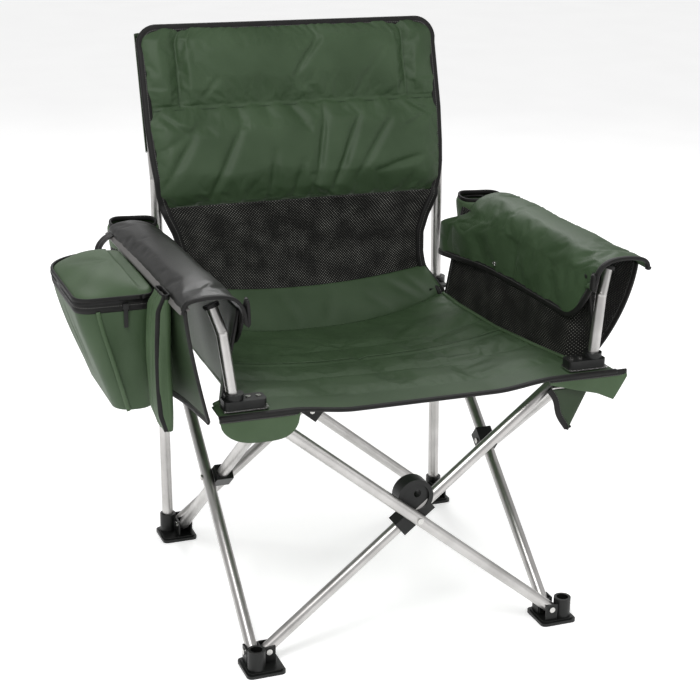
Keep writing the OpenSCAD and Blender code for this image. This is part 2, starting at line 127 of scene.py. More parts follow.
def camera():
    """The chair seen from the front left and a little above."""
    azimuth, elevation, roll = (math.radians(a) for a in CAMERA_TURN)
    back = Vector((math.sin(azimuth) * math.cos(elevation),
                   -math.cos(azimuth) * math.cos(elevation), math.sin(elevation)))
    right = Vector((math.cos(azimuth), math.sin(azimuth), 0))
    up = back.cross(right)
    right_r = right * math.cos(roll) + up * math.sin(roll)
    up_r = up * math.cos(roll) - right * math.sin(roll)
    data = bpy.data.cameras.new("camera")
    data.sensor_width = 36
    data.lens = CAMERA_LENS
    data.clip_end = 50
    made = bpy.data.objects.new("camera", data)
    turn = Matrix((right_r, up_r, back)).transposed().to_4x4()
    eye = Vector(CAMERA_PLACE) * MM + Vector(middle) * MM
    made.matrix_world = Matrix.Translation(eye) @ turn
    bpy.context.scene.collection.objects.link(made)
    bpy.context.scene.camera = made


def lamp(name, place, aim, size, watts):
    bpy.ops.object.light_add(type="AREA", location=place)
    made = bpy.context.object
    made.name = name
    made.data.size = size
    made.data.energy = watts
    made.rotation_mode = "QUATERNION"
    made.rotation_quaternion = (Vector(aim) - Vector(place)).to_track_quat("-Z", "Y")


def studio():
    world = bpy.data.worlds.new("studio")
    bpy.context.scene.world = world
    world.use_nodes = True
    sky = world.node_tree.nodes["Background"]
    sky.inputs["Color"].default_value = (1, 1, 1, 1)
    seen = add(world.node_tree, "LightPath")
    power = add(world.node_tree, "MapRange", {"Value": seen.outputs["Is Camera Ray"],
                                              "To Min": SKY_ON_CHAIR, "To Max": SKY_SEEN})
    world.node_tree.links.new(power.outputs["Result"], sky.inputs["Strength"])
    for name, place, aim, size, watts in LAMPS:
        lamp(name, place, aim, size, watts)
    bpy.ops.mesh.primitive_plane_add(size=FLOOR_SIZE, location=(0, 0, 0))
    floor = bpy.context.object
    floor.name = "floor"
    paint(floor, white_floor())
    bpy.context.scene.view_settings.view_transform = "Standard"


# ---------------------------------------------------------------- materials

def colour(code):
    """An sRGB hex value as linear RGBA."""
    parts = [int(code[i:i + 2], 16) / 255 for i in (1, 3, 5)]
    line = [c / 12.92 if c <= 0.04045 else ((c + 0.055) / 1.055) ** 2.4 for c in parts]
    return (*line, 1)


def add(tree, kind, inputs=None, **settings):
    """One shader node with its settings, its fixed inputs and its links."""
    made = tree.nodes.new("ShaderNode" + kind)
    for key, value in settings.items():
        setattr(made, key, value)
    for socket, value in (inputs or {}).items():
        if isinstance(value, bpy.types.NodeSocket):
            tree.links.new(value, made.inputs[socket])
        else:
            made.inputs[socket].default_value = value
    return made


def material(name, **sockets):
    """A new material: its tree and its shader, with plain values set on the shader."""
    made = bpy.data.materials.new(name)
    made.use_nodes = True
    shader = made.node_tree.nodes["Principled BSDF"]
    for key, value in sockets.items():
        shader.inputs[key.replace("_", " ").capitalize() if key != "IOR" else key].default_value = value
    return made, made.node_tree, shader


def mottled(tree, coords, dark, light, scale, low=0.35, high=0.65):
    """Colour that drifts between two tones over the surface."""
    cloud = add(tree, "TexNoise", {"Vector": coords, "Scale": scale, "Detail": 4.0})
    spread = add(tree, "MapRange", {"Value": cloud.outputs["Fac"], "From Min": low, "From Max": high})
    return mix(tree, spread.outputs["Result"], colour(dark), colour(light))


def mix(tree, factor, a, b, blend="MIX"):
    made = tree.nodes.new("ShaderNodeMix")
    made.data_type = "RGBA"
    made.blend_type = blend
    for socket, value in ((0, factor), (6, a), (7, b)):
        if isinstance(value, bpy.types.NodeSocket):
            tree.links.new(value, made.inputs[socket])
        else:
            made.inputs[socket].default_value = value
    return made


def bumped(tree, shader, height, strength, distance):
    relief = add(tree, "Bump", {"Height": height, "Strength": strength, "Distance": distance})
    tree.links.new(relief.outputs["Normal"], shader.inputs["Normal"])


def threads(tree, coords, spacing, direction="X", turn=0.0):
    """Bands one thread spacing apart, in metres."""
    turned = add(tree, "Mapping", {"Vector": coords, "Rotation": (0, 0, turn)})
    return add(tree, "TexWave", {"Vector": turned.outputs["Vector"], "Scale": math.pi / 10 / spacing,
                                 "Distortion": 0.4, "Detail": 1.0, "Detail Scale": 1.5},
               wave_type="BANDS", bands_direction=direction).outputs["Fac"]


def woven(name, dark, light, spacing=0.0014):
    """Coated polyester cloth, plain weave: matt, with a soft sheen.

    The thread spacing is drawn about twice as coarse as the real one, so that it shows.
    """
    made, tree, shader = material(name, Roughness=0.52)
    shader.inputs["Sheen Weight"].default_value = 0.3
    shader.inputs["Sheen Roughness"].default_value = 0.35
    shader.inputs["Sheen Tint"].default_value = colour(light)
    shader.inputs["Specular IOR Level"].default_value = 0.32
    coords = add(tree, "TexCoord").outputs["UV"]
    warp = threads(tree, coords, spacing, "X")
    weft = threads(tree, coords, spacing, "Y")
    weave = add(tree, "Math", {0: warp, 1: weft}, operation="MULTIPLY")
    tone = mottled(tree, coords, dark, light, 9)
    shade = add(tree, "MapRange", {"Value": weave.outputs[0], "To Min": 0.86, "To Max": 1.1})
    cloth = mix(tree, 1.0, tone.outputs[2], shade.outputs["Result"], "MULTIPLY")
    tree.links.new(cloth.outputs[2], shader.inputs["Base Color"])
    fine = add(tree, "TexNoise", {"Vector": coords, "Scale": 420.0, "Detail": 2.0})
    height = add(tree, "Math", {0: weave.outputs[0], 1: fine.outputs["Fac"]}, operation="ADD")
    bumped(tree, shader, height.outputs[0], 0.35, 0.0003)
    return made


def netting(name, through_light, spacing=0.0042):
    """Knitted polyester mesh: black yarn round small holes set on the bias; the holes are solid, painted in a
    paler tone as painted light seen through them.
    """
    made, tree, shader = material(name, Roughness=0.6)
    shader.inputs["Specular IOR Level"].default_value = 0.2
    coords = add(tree, "TexCoord").outputs["UV"]
    one = threads(tree, coords, spacing, "X", math.radians(45))
    two = threads(tree, coords, spacing, "X", math.radians(-45))
    cells = add(tree, "Math", {0: one, 1: two}, operation="MULTIPLY")
    cloud = add(tree, "TexNoise", {"Vector": coords, "Scale": 26.0, "Detail": 3.0})
    open_here = add(tree, "MapRange", {"Value": cloud.outputs["Fac"], "From Min": 0.35, "From Max": 0.7,
                                       "To Min": 0.80, "To Max": 0.5})
    gap = add(tree, "Math", {0: cells.outputs[0], 1: open_here.outputs["Result"]}, operation="SUBTRACT")
    share = add(tree, "MapRange", {"Value": gap.outputs[0], "From Min": 0.0, "From Max": 0.3})
    tone = mix(tree, share.outputs["Result"], colour("#151514"), colour(through_light))
    tree.links.new(tone.outputs[2], shader.inputs["Base Color"])
    bumped(tree, shader, cells.outputs[0], 0.8, 0.0008)
    return made


def ribbed_tape(name, dark, light):
    """Polyester grosgrain binding: fine ribs across the tape and a line of paler stitches."""
    made, tree, shader = material(name, Roughness=0.55)
    shader.inputs["Specular IOR Level"].default_value = 0.25
    coords = add(tree, "TexCoord").outputs["UV"]
    ribs = threads(tree, coords, 0.0018, "X")
    tone = mottled(tree, coords, dark, light, 30)
    split = add(tree, "SeparateXYZ", {"Vector": coords})
    near = add(tree, "Math", {0: split.outputs["Y"], 1: 0.0105}, operation="SUBTRACT")
    close = add(tree, "Math", {0: near.outputs[0]}, operation="ABSOLUTE")
    line = add(tree, "Math", {0: close.outputs[0], 1: 0.0006}, operation="LESS_THAN")
    dash = add(tree, "Math", {0: split.outputs["X"], 1: 0.0045}, operation="MODULO")
    on = add(tree, "Math", {0: dash.outputs[0], 1: 0.003}, operation="LESS_THAN")
    stitch = add(tree, "Math", {0: line.outputs[0], 1: on.outputs[0]}, operation="MULTIPLY")
    final = mix(tree, stitch.outputs[0], tone.outputs[2], colour("#5a5a58"))
    tree.links.new(final.outputs[2], shader.inputs["Base Color"])
    height = add(tree, "Math", {0: ribs, 1: stitch.outputs[0]}, operation="ADD")
    bumped(tree, shader, height.outputs[0], 0.4, 0.0004)
    return made


def grained_vinyl(name, dark, light):
    """Soft vinyl with a pressed leather grain: half matt, with a faint shine on its high spots."""
    made, tree, shader = material(name, Roughness=0.42)
    shader.inputs["Specular IOR Level"].default_value = 0.3
    coords = add(tree, "TexCoord").outputs["Object"]
    cells = add(tree, "TexVoronoi", {"Vector": coords, "Scale": 620.0}, feature="DISTANCE_TO_EDGE")
    tone = mottled(tree, coords, dark, light, 14)
    tree.links.new(tone.outputs[2], shader.inputs["Base Color"])
    bumped(tree, shader, cells.outputs["Distance"], 0.35, 0.0004)
    return made


def moulded(name, dark, light, roughness=0.42):
    """Glass-filled nylon from a spark-eroded mould: fine even grain, paler where it is rubbed."""
    made, tree, shader = material(name, Roughness=roughness)
    shader.inputs["Specular IOR Level"].default_value = 0.35
    coords = add(tree, "TexCoord").outputs["Object"]
    tone = mottled(tree, coords, dark, light, 35)
    tree.links.new(tone.outputs[2], shader.inputs["Base Color"])
    grain = add(tree, "TexNoise", {"Vector": coords, "Scale": 900.0, "Detail": 3.0})
    bumped(tree, shader, grain.outputs["Fac"], 0.22, 0.0003)
    return made


def brushed_steel(name, dark, light, roughness, grain_scale):
    """Drawn steel with a satin, finely brushed face and faint handling marks."""
    made, tree, shader = material(name, Metallic=1.0)
    coords = add(tree, "TexCoord").outputs["Object"]
    tone = mottled(tree, coords, dark, light, 18)
    tree.links.new(tone.outputs[2], shader.inputs["Base Color"])
    scratch = add(tree, "TexNoise", {"Vector": coords, "Scale": grain_scale, "Detail": 5.0, "Roughness": 0.7})
    gloss = add(tree, "MapRange", {"Value": scratch.outputs["Fac"], "To Min": roughness - 0.07,
                                   "To Max": roughness + 0.08})
    tree.links.new(gloss.outputs["Result"], shader.inputs["Roughness"])
    bumped(tree, shader, scratch.outputs["Fac"], 0.08, 0.0002)
    return made


def white_floor():
    """Matt white studio paper."""
    made, tree, shader = material("studio_paper", Roughness=0.9)
    shader.inputs["Emission Color"].default_value = (1, 1, 1, 1)
    shader.inputs["Emission Strength"].default_value = 0.42
    coords = add(tree, "TexCoord").outputs["Object"]
    tone = mottled(tree, coords, "#f6f6f6", "#fafafa", 3)
    tree.links.new(tone.outputs[2], shader.inputs["Base Color"])
    return made


def paint(piece, *finishes):
    piece.data.materials.clear()
    for finish in finishes:
        piece.data.materials.append(finish)


camera()
green = woven("polyester_green", "#35492f", "#3f5339")
# The same green polyester drawn lighter, a lit copy: painted light on the lid and the trims.
green_painted_lit = woven("polyester_green_painted_lit", "#3e5237", "#4a5e43")
# The same green polyester drawn darker, a shaded copy: painted shade on the sleeves, the left arm's panels
# and the pocket's tail.
green_painted_shade = woven("polyester_green_painted_shade", "#293823", "#31412c")
# Each net's second colour is the tone of its holes: painted light seen through the mesh.
black_net = netting("mesh_black", "#a3a39c")
pocket_net = netting("mesh_pocket", "#7a7a73", 0.005)
tape_black = ribbed_tape("binding_black", "#141413", "#1c1b1b")
vinyl = grained_vinyl("vinyl_charcoal", "#222221", "#2d2d2c")
piping_grey = grained_vinyl("vinyl_grey_piping", "#5d5b59", "#6b6967")
nylon = moulded("nylon_black", "#101110", "#191a19")
nylon_zip = moulded("zip_nylon", "#101010", "#1d1d1d", 0.35)
tube_steel = brushed_steel("steel_tube_satin", "#b5b3b1", "#c9c7c5", 0.33, 260.0)
plate_steel = brushed_steel("steel_plate_bright", "#d3d2d0", "#e4e3e1", 0.22, 300.0)
rivet_steel = brushed_steel("steel_rivet_plated", "#b9b8b5", "#d6d5d2", 0.25, 500.0)
thread_green = woven("thread_green", "#2b3a28", "#354532", 0.0006)
studio()


# ---------------------------------------------------------------- cloth tools

def placed(points):
    """Points in the chair's own millimetres, moved into the frame in metres."""
    return (np.asarray(points, float).reshape(-1, 3) + middle) * MM


def make_mesh(name, points, faces, uv=None):
    data = bpy.data.meshes.new(name)
    data.from_pydata(placed(points).tolist(), [], faces)
    data.validate()
    made = bpy.data.objects.new(name, data)
    bpy.context.scene.collection.objects.link(made)
    if uv is not None:
        layer = data.uv_layers.new(name="cloth")
        spots = np.asarray(uv, float).reshape(-1, 2)
        index = np.zeros(len(data.loops), int)
        data.loops.foreach_get("vertex_index", index)
        layer.data.foreach_set("uv", spots[index].ravel())
    data.shade_smooth()
    return made


def grid_faces(rows, columns, closed=False):
    """Quads of a grid of points, counted row by row."""
    faces = []
    for r in range(rows - 1):
        for c in range(columns - (0 if closed else 1)):
            d = (c + 1) % columns
            faces.append((r * columns + c, r * columns + d, (r + 1) * columns + d, (r + 1) * columns + c))
    return faces


def run_lengths(grid):
    """Metres along the rows and the columns of a grid of points, for its UV map."""
    across = np.linalg.norm(np.diff(grid, axis=1), axis=2).mean(0)
    along = np.linalg.norm(np.diff(grid, axis=0), axis=2).mean(1)
    u = np.concatenate([[0], np.cumsum(across)]) * MM
    v = np.concatenate([[0], np.cumsum(along)]) * MM
    return np.stack(np.broadcast_arrays(u[None, :], v[:, None]), axis=2)


def apply_all(piece):
    bpy.ops.object.select_all(action="DESELECT")
    piece.select_set(True)
    bpy.context.view_layer.objects.active = piece
    for modifier in list(piece.modifiers):
        bpy.ops.object.modifier_apply(modifier=modifier.name)
    piece.select_set(False)


def give_wall(piece, thickness, offset=0):
    """Thickens a bare skin: offset 0 to both sides, -1 inwards only."""
    wall = piece.modifiers.new("wall", "SOLIDIFY")
    wall.thickness = thickness * MM
    wall.offset = offset
    apply_all(piece)


def cloth_sheet(name, grid, finish, thickness):
    """One layer of cloth from a grid of points."""
    rows, columns = grid.shape[:2]
    piece = make_mesh(name, grid, grid_faces(rows, columns), run_lengths(grid))
    paint(piece, finish)
    give_wall(piece, thickness)
    return piece


CLOTH_FRAMES = 18


def inflate(piece, held, pressure, grow, cap):
    """Cloth simulation: the skin swells and puckers between its held seams.

    No point ends further than cap from where it began.
    """
    count = len(piece.data.vertices)
    rest = np.zeros(count * 3)
    piece.data.vertices.foreach_get("co", rest)
    rest = rest.reshape(-1, 3)
    group = piece.vertex_groups.new(name="seams")
    group.add([int(i) for i in held], 1.0, "REPLACE")
    cloth = piece.modifiers.new("Cloth", "CLOTH")
    settings = cloth.settings
    settings.quality = 4
    settings.mass = 0.2
    settings.tension_stiffness = 12
    settings.compression_stiffness = 12
    settings.shear_stiffness = 4
    settings.bending_stiffness = 0.4
    settings.use_pressure = True
    settings.uniform_pressure_force = pressure
    settings.shrink_min = -grow
    settings.vertex_group_mass = "seams"
    settings.effector_weights.gravity = 0
    cloth.collision_settings.use_collision = False
    cloth.point_cache.frame_start = 1
    cloth.point_cache.frame_end = CLOTH_FRAMES
    scene = bpy.context.scene
    for number in range(1, CLOTH_FRAMES + 1):
        scene.frame_set(number)
    shown = piece.evaluated_get(bpy.context.evaluated_depsgraph_get()).data
    after = np.zeros(count * 3)
    shown.vertices.foreach_get("co", after)
    move = after.reshape(-1, 3) - rest
    length = np.linalg.norm(move, axis=1, keepdims=True)
    move *= np.minimum(1, cap * MM / np.maximum(length, 1e-9))
    piece.modifiers.remove(cloth)
    piece.vertex_groups.remove(group)
    scene.frame_set(1)
    piece.data.vertices.foreach_set("co", (rest + move).ravel())
    piece.data.update()


def quilt(name, front, back, seams, finish, pressure, grow, cap, level=0):
    """A padded piece: two skins that share their outline, sewn where seams is true and swollen between."""
    rows, columns = front.shape[:2]
    rim = np.zeros((rows, columns), bool)
    rim[[0, -1], :] = True
    rim[:, [0, -1]] = True
    inner = np.flatnonzero(~rim.ravel())
    skin = np.arange(rows * columns)
    behind = skin.copy()
    behind[inner] = rows * columns + np.arange(len(inner))
    faces = grid_faces(rows, columns)
    faces += [tuple(int(behind[i]) for i in f[::-1]) for f in grid_faces(rows, columns)]
    points = np.concatenate([front.reshape(-1, 3), back.reshape(-1, 3)[inner]])
    lengths = run_lengths(front).reshape(-1, 2)
    piece = make_mesh(name, points, faces, np.concatenate([lengths, lengths[inner]]))
    paint(piece, finish)
    held = np.concatenate([np.flatnonzero((seams | rim).ravel()),
                           rows * columns + np.arange(len(inner))])
    inflate(piece, held, pressure, grow, cap)
    if level:
        finer = piece.modifiers.new("smooth", "SUBSURF")
        finer.levels = finer.render_levels = level
        apply_all(piece)
    return piece


TAPE_RING = 12              # points round a tape's section
TAPE_SQUARENESS = 0.6       # power that flattens its oval section
LEAST_FLAT = 0.0102         # metres, the narrowest flat width that a sheet may state


def tape(name, path, inward, normal, finish, width, thick, lap):
    """Binding folded over a cloth edge, and its flat width and length in metres.

    At each point, inward points into the cloth and normal out of its face.
    """
    path, inward, normal = (np.asarray(a, float) for a in (path, inward, normal))
    inward = np.broadcast_to(inward, path.shape)
    normal = np.broadcast_to(normal, path.shape)
    along = np.gradient(path, axis=0)
    along /= np.linalg.norm(along, axis=1, keepdims=True)
    inward = inward - (inward * along).sum(1, keepdims=True) * along
    inward = inward / np.linalg.norm(inward, axis=1, keepdims=True)
    face = np.cross(along, inward)
    face *= np.sign((face * normal).sum(1, keepdims=True) + 1e-9)
    angles = np.linspace(0, 2 * math.pi, TAPE_RING, endpoint=False)
    round_x, round_y = np.cos(angles), np.sin(angles)
    flat = np.sign(round_x) * np.abs(round_x) ** TAPE_SQUARENESS * width / 2 + width / 2 - lap
    out = np.sign(round_y) * np.abs(round_y) ** TAPE_SQUARENESS * thick / 2
    points = (path[:, None, :] + flat[None, :, None] * inward[:, None, :]
              + out[None, :, None] * face[:, None, :])
    rows = len(path)
    faces = grid_faces(rows, TAPE_RING, closed=True)
    faces += [tuple(range(TAPE_RING))[::-1], tuple((rows - 1) * TAPE_RING + i for i in range(TAPE_RING))]
    u = np.concatenate([[0], np.cumsum(np.linalg.norm(np.diff(path, axis=0), axis=1))]) * MM
    v = (flat - flat.min()) * MM
    piece = make_mesh(name, points, faces, np.stack(np.broadcast_arrays(u[:, None], v[None, :]), axis=2))
    fix_normals(piece)
    paint(piece, finish)
    section = np.stack([flat, out], axis=1)
    half_round = float(np.linalg.norm(np.roll(section, -1, axis=0) - section, axis=1).sum() / 2 * MM)
    return piece, (max(LEAST_FLAT, half_round), float(u[-1]))


LOOP_GAP = 0.01             # keeps the two ends of a looped binding apart


def bind(name, path, inward, normal, carry, cloth, finish=None, slot="black_mesh", **section):
    """A folded binding on the cloth it edges.

    carry puts it on its body, and section is its width, thick and lap.
    """
    piece, flat = tape(name, path, inward, normal, finish or tape_black, **section)
    carry(piece)


def fix_normals(piece):
    shape = bmesh.new()
    shape.from_mesh(piece.data)
    bmesh.ops.recalc_face_normals(shape, faces=shape.faces)
    shape.to_mesh(piece.data)
    shape.free()


def spline(points, count):
    """A smooth run of count points through the given ones, evenly spaced."""
    points = np.asarray(points, float)
    ends = np.vstack([2 * points[0] - points[1], points, 2 * points[-1] - points[-2]])
    run = []
    for i in range(1, len(ends) - 2):
        a, b, c, d = ends[i - 1:i + 3]
        for t in np.linspace(0, 1, 24, endpoint=False):
            run.append(0.5 * (2 * b + (c - a) * t + (2 * a - 5 * b + 4 * c - d) * t * t
                              + (3 * b - 3 * c + d - a) * t ** 3))
    run = np.array(run + [points[-1]])
    length = np.concatenate([[0], np.cumsum(np.linalg.norm(np.diff(run, axis=0), axis=1))])
    want = np.linspace(0, length[-1], count)
    return np.stack([np.interp(want, length, run[:, k]) for k in range(run.shape[1])], axis=1)


def crease(x, z, start, end, depth, width):
    """Depth of one soft fold that runs from start to end and dies away at both ends."""
    a, b = np.array(start, float), np.array(end, float)
    run = b - a
    t = ((x - a[0]) * run[0] + (z - a[1]) * run[1]) / (run @ run)
    off = (x - a[0]) * run[1] - (z - a[1]) * run[0]
    off = off / math.sqrt(run @ run)
    fade = np.clip(np.sin(np.clip(t, 0, 1) * math.pi), 0, 1) ** 0.7
    return depth * fade * np.exp(-(off / width) ** 2)


def creases(x, z, folds, depth_share=1.0, width_share=1.0):
    """Several soft folds, each given as its start, its end, its depth and its width."""
    total = 0
    for start, end, depth, width in folds:
        total = total + crease(x, z, start, end, depth_share * depth, width_share * width)
    return total


def copies(name, pattern, places, finish):
    """One piece made of copies of a small pattern object, one for each matrix in places."""
    shape = bmesh.new()
    for place in places:
        copy = bmesh.new()
        copy.from_mesh(pattern.data)
        copy.transform(place)
        part = bpy.data.meshes.new("copy")
        copy.to_mesh(part)
        copy.free()
        shape.from_mesh(part)
        bpy.data.meshes.remove(part)
    bpy.data.objects.remove(pattern)
    data = bpy.data.meshes.new(name)
    shape.to_mesh(data)
    shape.free()
    piece = bpy.data.objects.new(name, data)
    bpy.context.scene.collection.objects.link(piece)
    paint(piece, finish)
    return piece


STITCH_PITCH = 5.0
STITCH_LENGTH = 3.4
THREAD_R = 0.55
STITCH_PROUD = 0.4


def stitches(name, path, normal):
    """A run of short thread stitches that stand on the back's cloth along a path."""
    path = np.asarray(path, float)
    length = np.linalg.norm(np.diff(path, axis=0), axis=1).sum()
    path = spline(path, max(3, int(length / STITCH_PITCH)))
    bpy.ops.mesh.primitive_cylinder_add(vertices=6, radius=THREAD_R * MM, depth=STITCH_LENGTH * MM,
                                        location=(0, 0, 0))
    pattern = bpy.context.object
    places = []
    for here, ahead in zip(path[:-1], path[1:]):
        turn = Vector(ahead - here).to_track_quat("Z", "X").to_matrix().to_4x4()
        spot = Vector(placed((here + ahead) / 2 + np.asarray(normal, float) * STITCH_PROUD)[0])
        places.append(Matrix.Translation(spot) @ turn)
    on_back(copies(name, pattern, places, thread_green))


# ---------------------------------------------------------------- how the soft goods ride on the frame


def on_back(piece):
    """Rides on the left back post, with a mesh of its own."""
    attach(piece, "left_back_post")
    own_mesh(piece)
    return piece


def on_arm(piece, side, gathers=True):
    """Rides on an arm, with a mesh of its own unless gathers is false."""
    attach(piece, f"{SIDE_NAME[side]}_arm")
    if gathers:
        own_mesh(piece)
    return piece


def on_seat(piece, half):
    """Rides on the front or the rear half of the seat, with a mesh of its own."""
    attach(piece, f"seat_{half}_half")
    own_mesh(piece)
    return piece


def on_bag(piece):
    """Rides on the left arm with the bag, which keeps its shape as the chair folds."""
    return on_arm(piece, LEFT, gathers=False)


def only_on(body):
    """Rides on a body, without gathering."""
    return lambda piece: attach(piece, body)


# ---------------------------------------------------------------- back

HEAD_SEAM_Z = 884.0
HEAD_HALF = 241.0
CORNER_R = 38.0
PAD_LOW = hem_z + 8
CREASE_MID_Z = 432.0
CREASE_EDGE_Z = 484.0
CREASE_Y = 259.0
NEAR_FLAT = 2.5             # how far from a seam's line its points are held
# Folds of the back, each from a start to an end in x and z, with a depth and a width.
BACK_FOLDS = (
    ((-120, 850), (-200, 705), 5, 9), ((-215, 840), (-285, 740), 5, 9), ((-60, 800), (-70, 705), 3.5, 9),
    ((60, 880), (20, 705), 5, 10), ((130, 860), (60, 705), 6, 9), ((215, 870), (110, 730), 5, 8),
    ((270, 770), (150, 740), 5, 8), ((285, 850), (215, 820), 4, 7), ((-290, 870), (-235, 830), 5, 7),
    ((235, 875), (290, 850), 5, 6), ((-170, 870), (-290, 800), 3, 8), ((0, 780), (-20, 700), 3, 9),
    ((60, 1010), (-10, 930), 3, 10), ((200, 990), (150, 930), 2, 10), ((-160, 940), (-200, 895), 2.5, 8),
)
LOWER_BACK_FOLDS = (
    ((170, 510), (250, 470), 6, 8), ((215, 520), (262, 480), 5, 7), ((120, 490), (180, 455), 3, 8),
    ((-170, 510), (-250, 470), 6, 8), ((-60, 500), (-20, 440), 3, 12), ((60, 500), (30, 440), 2.5, 12),
)


def back_half_at(z):
    """Half width of the back at a height: full at the head, drawn in at the waist, wide again at the seat."""
    profile = np.interp(z, [440, 484, 510, 535, 560, 605, 640, 682, 720, 790, 860, 1000, 1040],
                        [302, 291, 279, 268, 263, 262, 272, 292, 301, 308, 312, 312, 311])
    low = np.clip(z - (back_top - CORNER_R), 0, CORNER_R)
    return profile - (CORNER_R - np.sqrt(np.maximum(CORNER_R ** 2 - low ** 2, 0)))


def back_y(z):
    """Front face of the back's cloth, before it is padded."""
    ease = smooth(z, mesh_low_z - 10, hem_z)
    return post_y(z) - 15 - 7 * ease


def back_pad():
    """The padded upper back, with a head cushion sewn off across its top."""
    rows, columns, corner_rows = 90, 150, 16
    z = np.concatenate([np.linspace(PAD_LOW, back_top - CORNER_R, rows - corner_rows, endpoint=False),
                        back_top - CORNER_R + CORNER_R * np.sin(np.linspace(0, math.pi / 2, corner_rows))])
    z_grid, t_grid = np.meshgrid(z, np.linspace(-1, 1, columns), indexing="ij")
    x = t_grid * back_half_at(z_grid)
    x_wide = t_grid * np.interp(z_grid, [PAD_LOW, 860, 1040], [292, 312, 312])
    rear_y = post_y(z_grid) - 12.5
    head = z_grid > HEAD_SEAM_Z
    puff = np.sqrt(np.clip(np.minimum(1, (1 - np.abs(t_grid)) * 9), 0, 1))
    seam_z = np.minimum(1, np.abs(z_grid - HEAD_SEAM_Z) / 34)
    seam_x = np.where(head, np.minimum(1, np.abs(np.abs(x_wide) - HEAD_HALF) / 22), 1)
    hem = np.minimum(1, (z_grid - PAD_LOW) / 30)
    top = np.minimum(1, (back_top - z_grid) / 22)
    thick = 2 + 17 * puff * np.sqrt(np.clip(seam_z * seam_x * hem * top, 0, 1))
    folds = creases(x, z_grid, BACK_FOLDS, depth_share=1.5)
    gather = 1.3 * np.sin(x / 7.5) * np.exp(-(z_grid - PAD_LOW) / 16)
    gather = gather + 1.1 * np.sin(x / 9) * np.exp(-np.abs(z_grid - HEAD_SEAM_Z - 8) / 13)
    front = np.stack([x, rear_y - thick + folds - gather * hem, z_grid], axis=2)
    rear = np.stack([x, rear_y, z_grid], axis=2)
    rear[[0, -1], :] = front[[0, -1], :]
    seams = np.abs(z_grid - HEAD_SEAM_Z) < NEAR_FLAT
    seams |= head & (np.abs(np.abs(x_wide) - HEAD_HALF) < 2.6)
    piece = quilt("back_pad", front, rear, seams, green, pressure=2.2, grow=0.025, cap=9, level=1)
    on_back(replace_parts(piece, "back_upper"))
    for side in (LEFT, RIGHT):
        heights = np.linspace(HEAD_SEAM_Z, back_top - 14, 9)
        path = [(side * (HEAD_HALF + 3), float(post_y(h)) - 19, h) for h in heights]
        stitches(f"head_stitches_{SIDE_NAME[side]}", path, (0, -1, 0))
    for name, height, half in (("head", HEAD_SEAM_Z - 5, 300), ("hem", PAD_LOW + 9, 290)):
        path = [(x_at, float(post_y(height)) - 20, height) for x_at in np.linspace(-half, half, 12)]
        stitches(f"{name}_stitches", path, (0, -1, 0))


BAND_COLUMNS = 90


def lower_seam_z(x):
    """Height of the seam between the mesh band and the lower back."""
    return 505 + 22 * (np.abs(x) / 265) ** 2


def mesh_band():
    """The netting between the padded back and the lower back."""
    v, u = np.meshgrid(np.linspace(0, 1, 46), np.linspace(-1, 1, BAND_COLUMNS), indexing="ij")
    seam = lower_seam_z(u * 270)
    z = seam + (PAD_LOW + 4 - seam) * v
    x = u * back_half_at(z)
    sag = 12 * (1 - u ** 2) * np.sin(math.pi * np.clip(v, 0, 1)) ** 0.8
    y = back_y(z) + sag + 1.6 * np.sin(x / 26 + z / 40) * np.sin(math.pi * v)
    band = cloth_sheet("mesh_band", np.stack([x, y, z], axis=2), black_net, 1.6)
    on_back(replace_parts(band, "back_mesh"))


def lower_back():
    """The cloth below the netting, which curves forward into the seat."""
    v, u = np.meshgrid(np.linspace(0, 1, 36), np.linspace(-1, 1, BAND_COLUMNS), indexing="ij")
    top = lower_seam_z(u * 270) + 3
    low = CREASE_MID_Z + (CREASE_EDGE_Z - CREASE_MID_Z) * np.abs(u) ** 2.6
    z = low + (top - low) * v
    x = u * back_half_at(np.maximum(z, CREASE_EDGE_Z))
    end_y = back_y(top) - 1.0
    rise = v ** (1 + 1.2 * u ** 2)
    y = CREASE_Y + (end_y - CREASE_Y) * rise
    folds = creases(x, z, LOWER_BACK_FOLDS)
    y = y - 5 * np.sin(math.pi * v) * (1 - u ** 2) + folds * 0.8
    lower = cloth_sheet("lower_back", np.stack([x, y, z], axis=2), green, 2.4)
    on_back(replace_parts(lower, "back_lower"))
    path = [(x_at, float(back_y(lower_seam_z(x_at))) - 2.5, lower_seam_z(x_at) - 4)
            for x_at in np.linspace(-262, 262, 14)]
    stitches("lower_seam_stitches", path, (0, -1, 0))


def back_binding():
    """Tape round the sides and top of the back."""
    heights = np.linspace(CREASE_EDGE_Z - 4, back_top - CORNER_R, 70, endpoint=False)
    side = [(float(back_half_at(h)), h) for h in heights]
    centre = (back_half - CORNER_R, back_top - CORNER_R)
    arc = [(centre[0] + CORNER_R * math.cos(a), centre[1] + CORNER_R * math.sin(a))
           for a in np.linspace(0, math.pi / 2, 14)]
    right = side + arc
    across = [(x, back_top) for x in np.linspace(centre[0], -centre[0], 60)[1:-1]]
    outline = np.array(right + across + [(-x, z) for x, z in right[::-1]])
    z = outline[:, 1]
    y = np.where(z < PAD_LOW, back_y(z), post_y(z) - 15.5)
    rise = np.clip((z - CREASE_EDGE_Z) / (mesh_low_z - CREASE_EDGE_Z), 0, 1) ** 1.6
    y = np.where(z < mesh_low_z, CREASE_Y + (back_y(mesh_low_z) - CREASE_Y) * rise, y)
    path = spline(np.stack([outline[:, 0], y, z], axis=1), 260)
    inward = np.array([0, 330, 760.0]) - path
    inward[:, 1] = 0
    inward[:, 2] = np.where(path[:, 2] < back_top - CORNER_R, 0, inward[:, 2])
    piece, flat = tape("back_binding", path, inward, (0, -1, 0.1), tape_black, width=18, thick=12, lap=5)
    on_back(piece)


SLEEVE_LOW_Z = 800
SLEEVE_R = 12.6


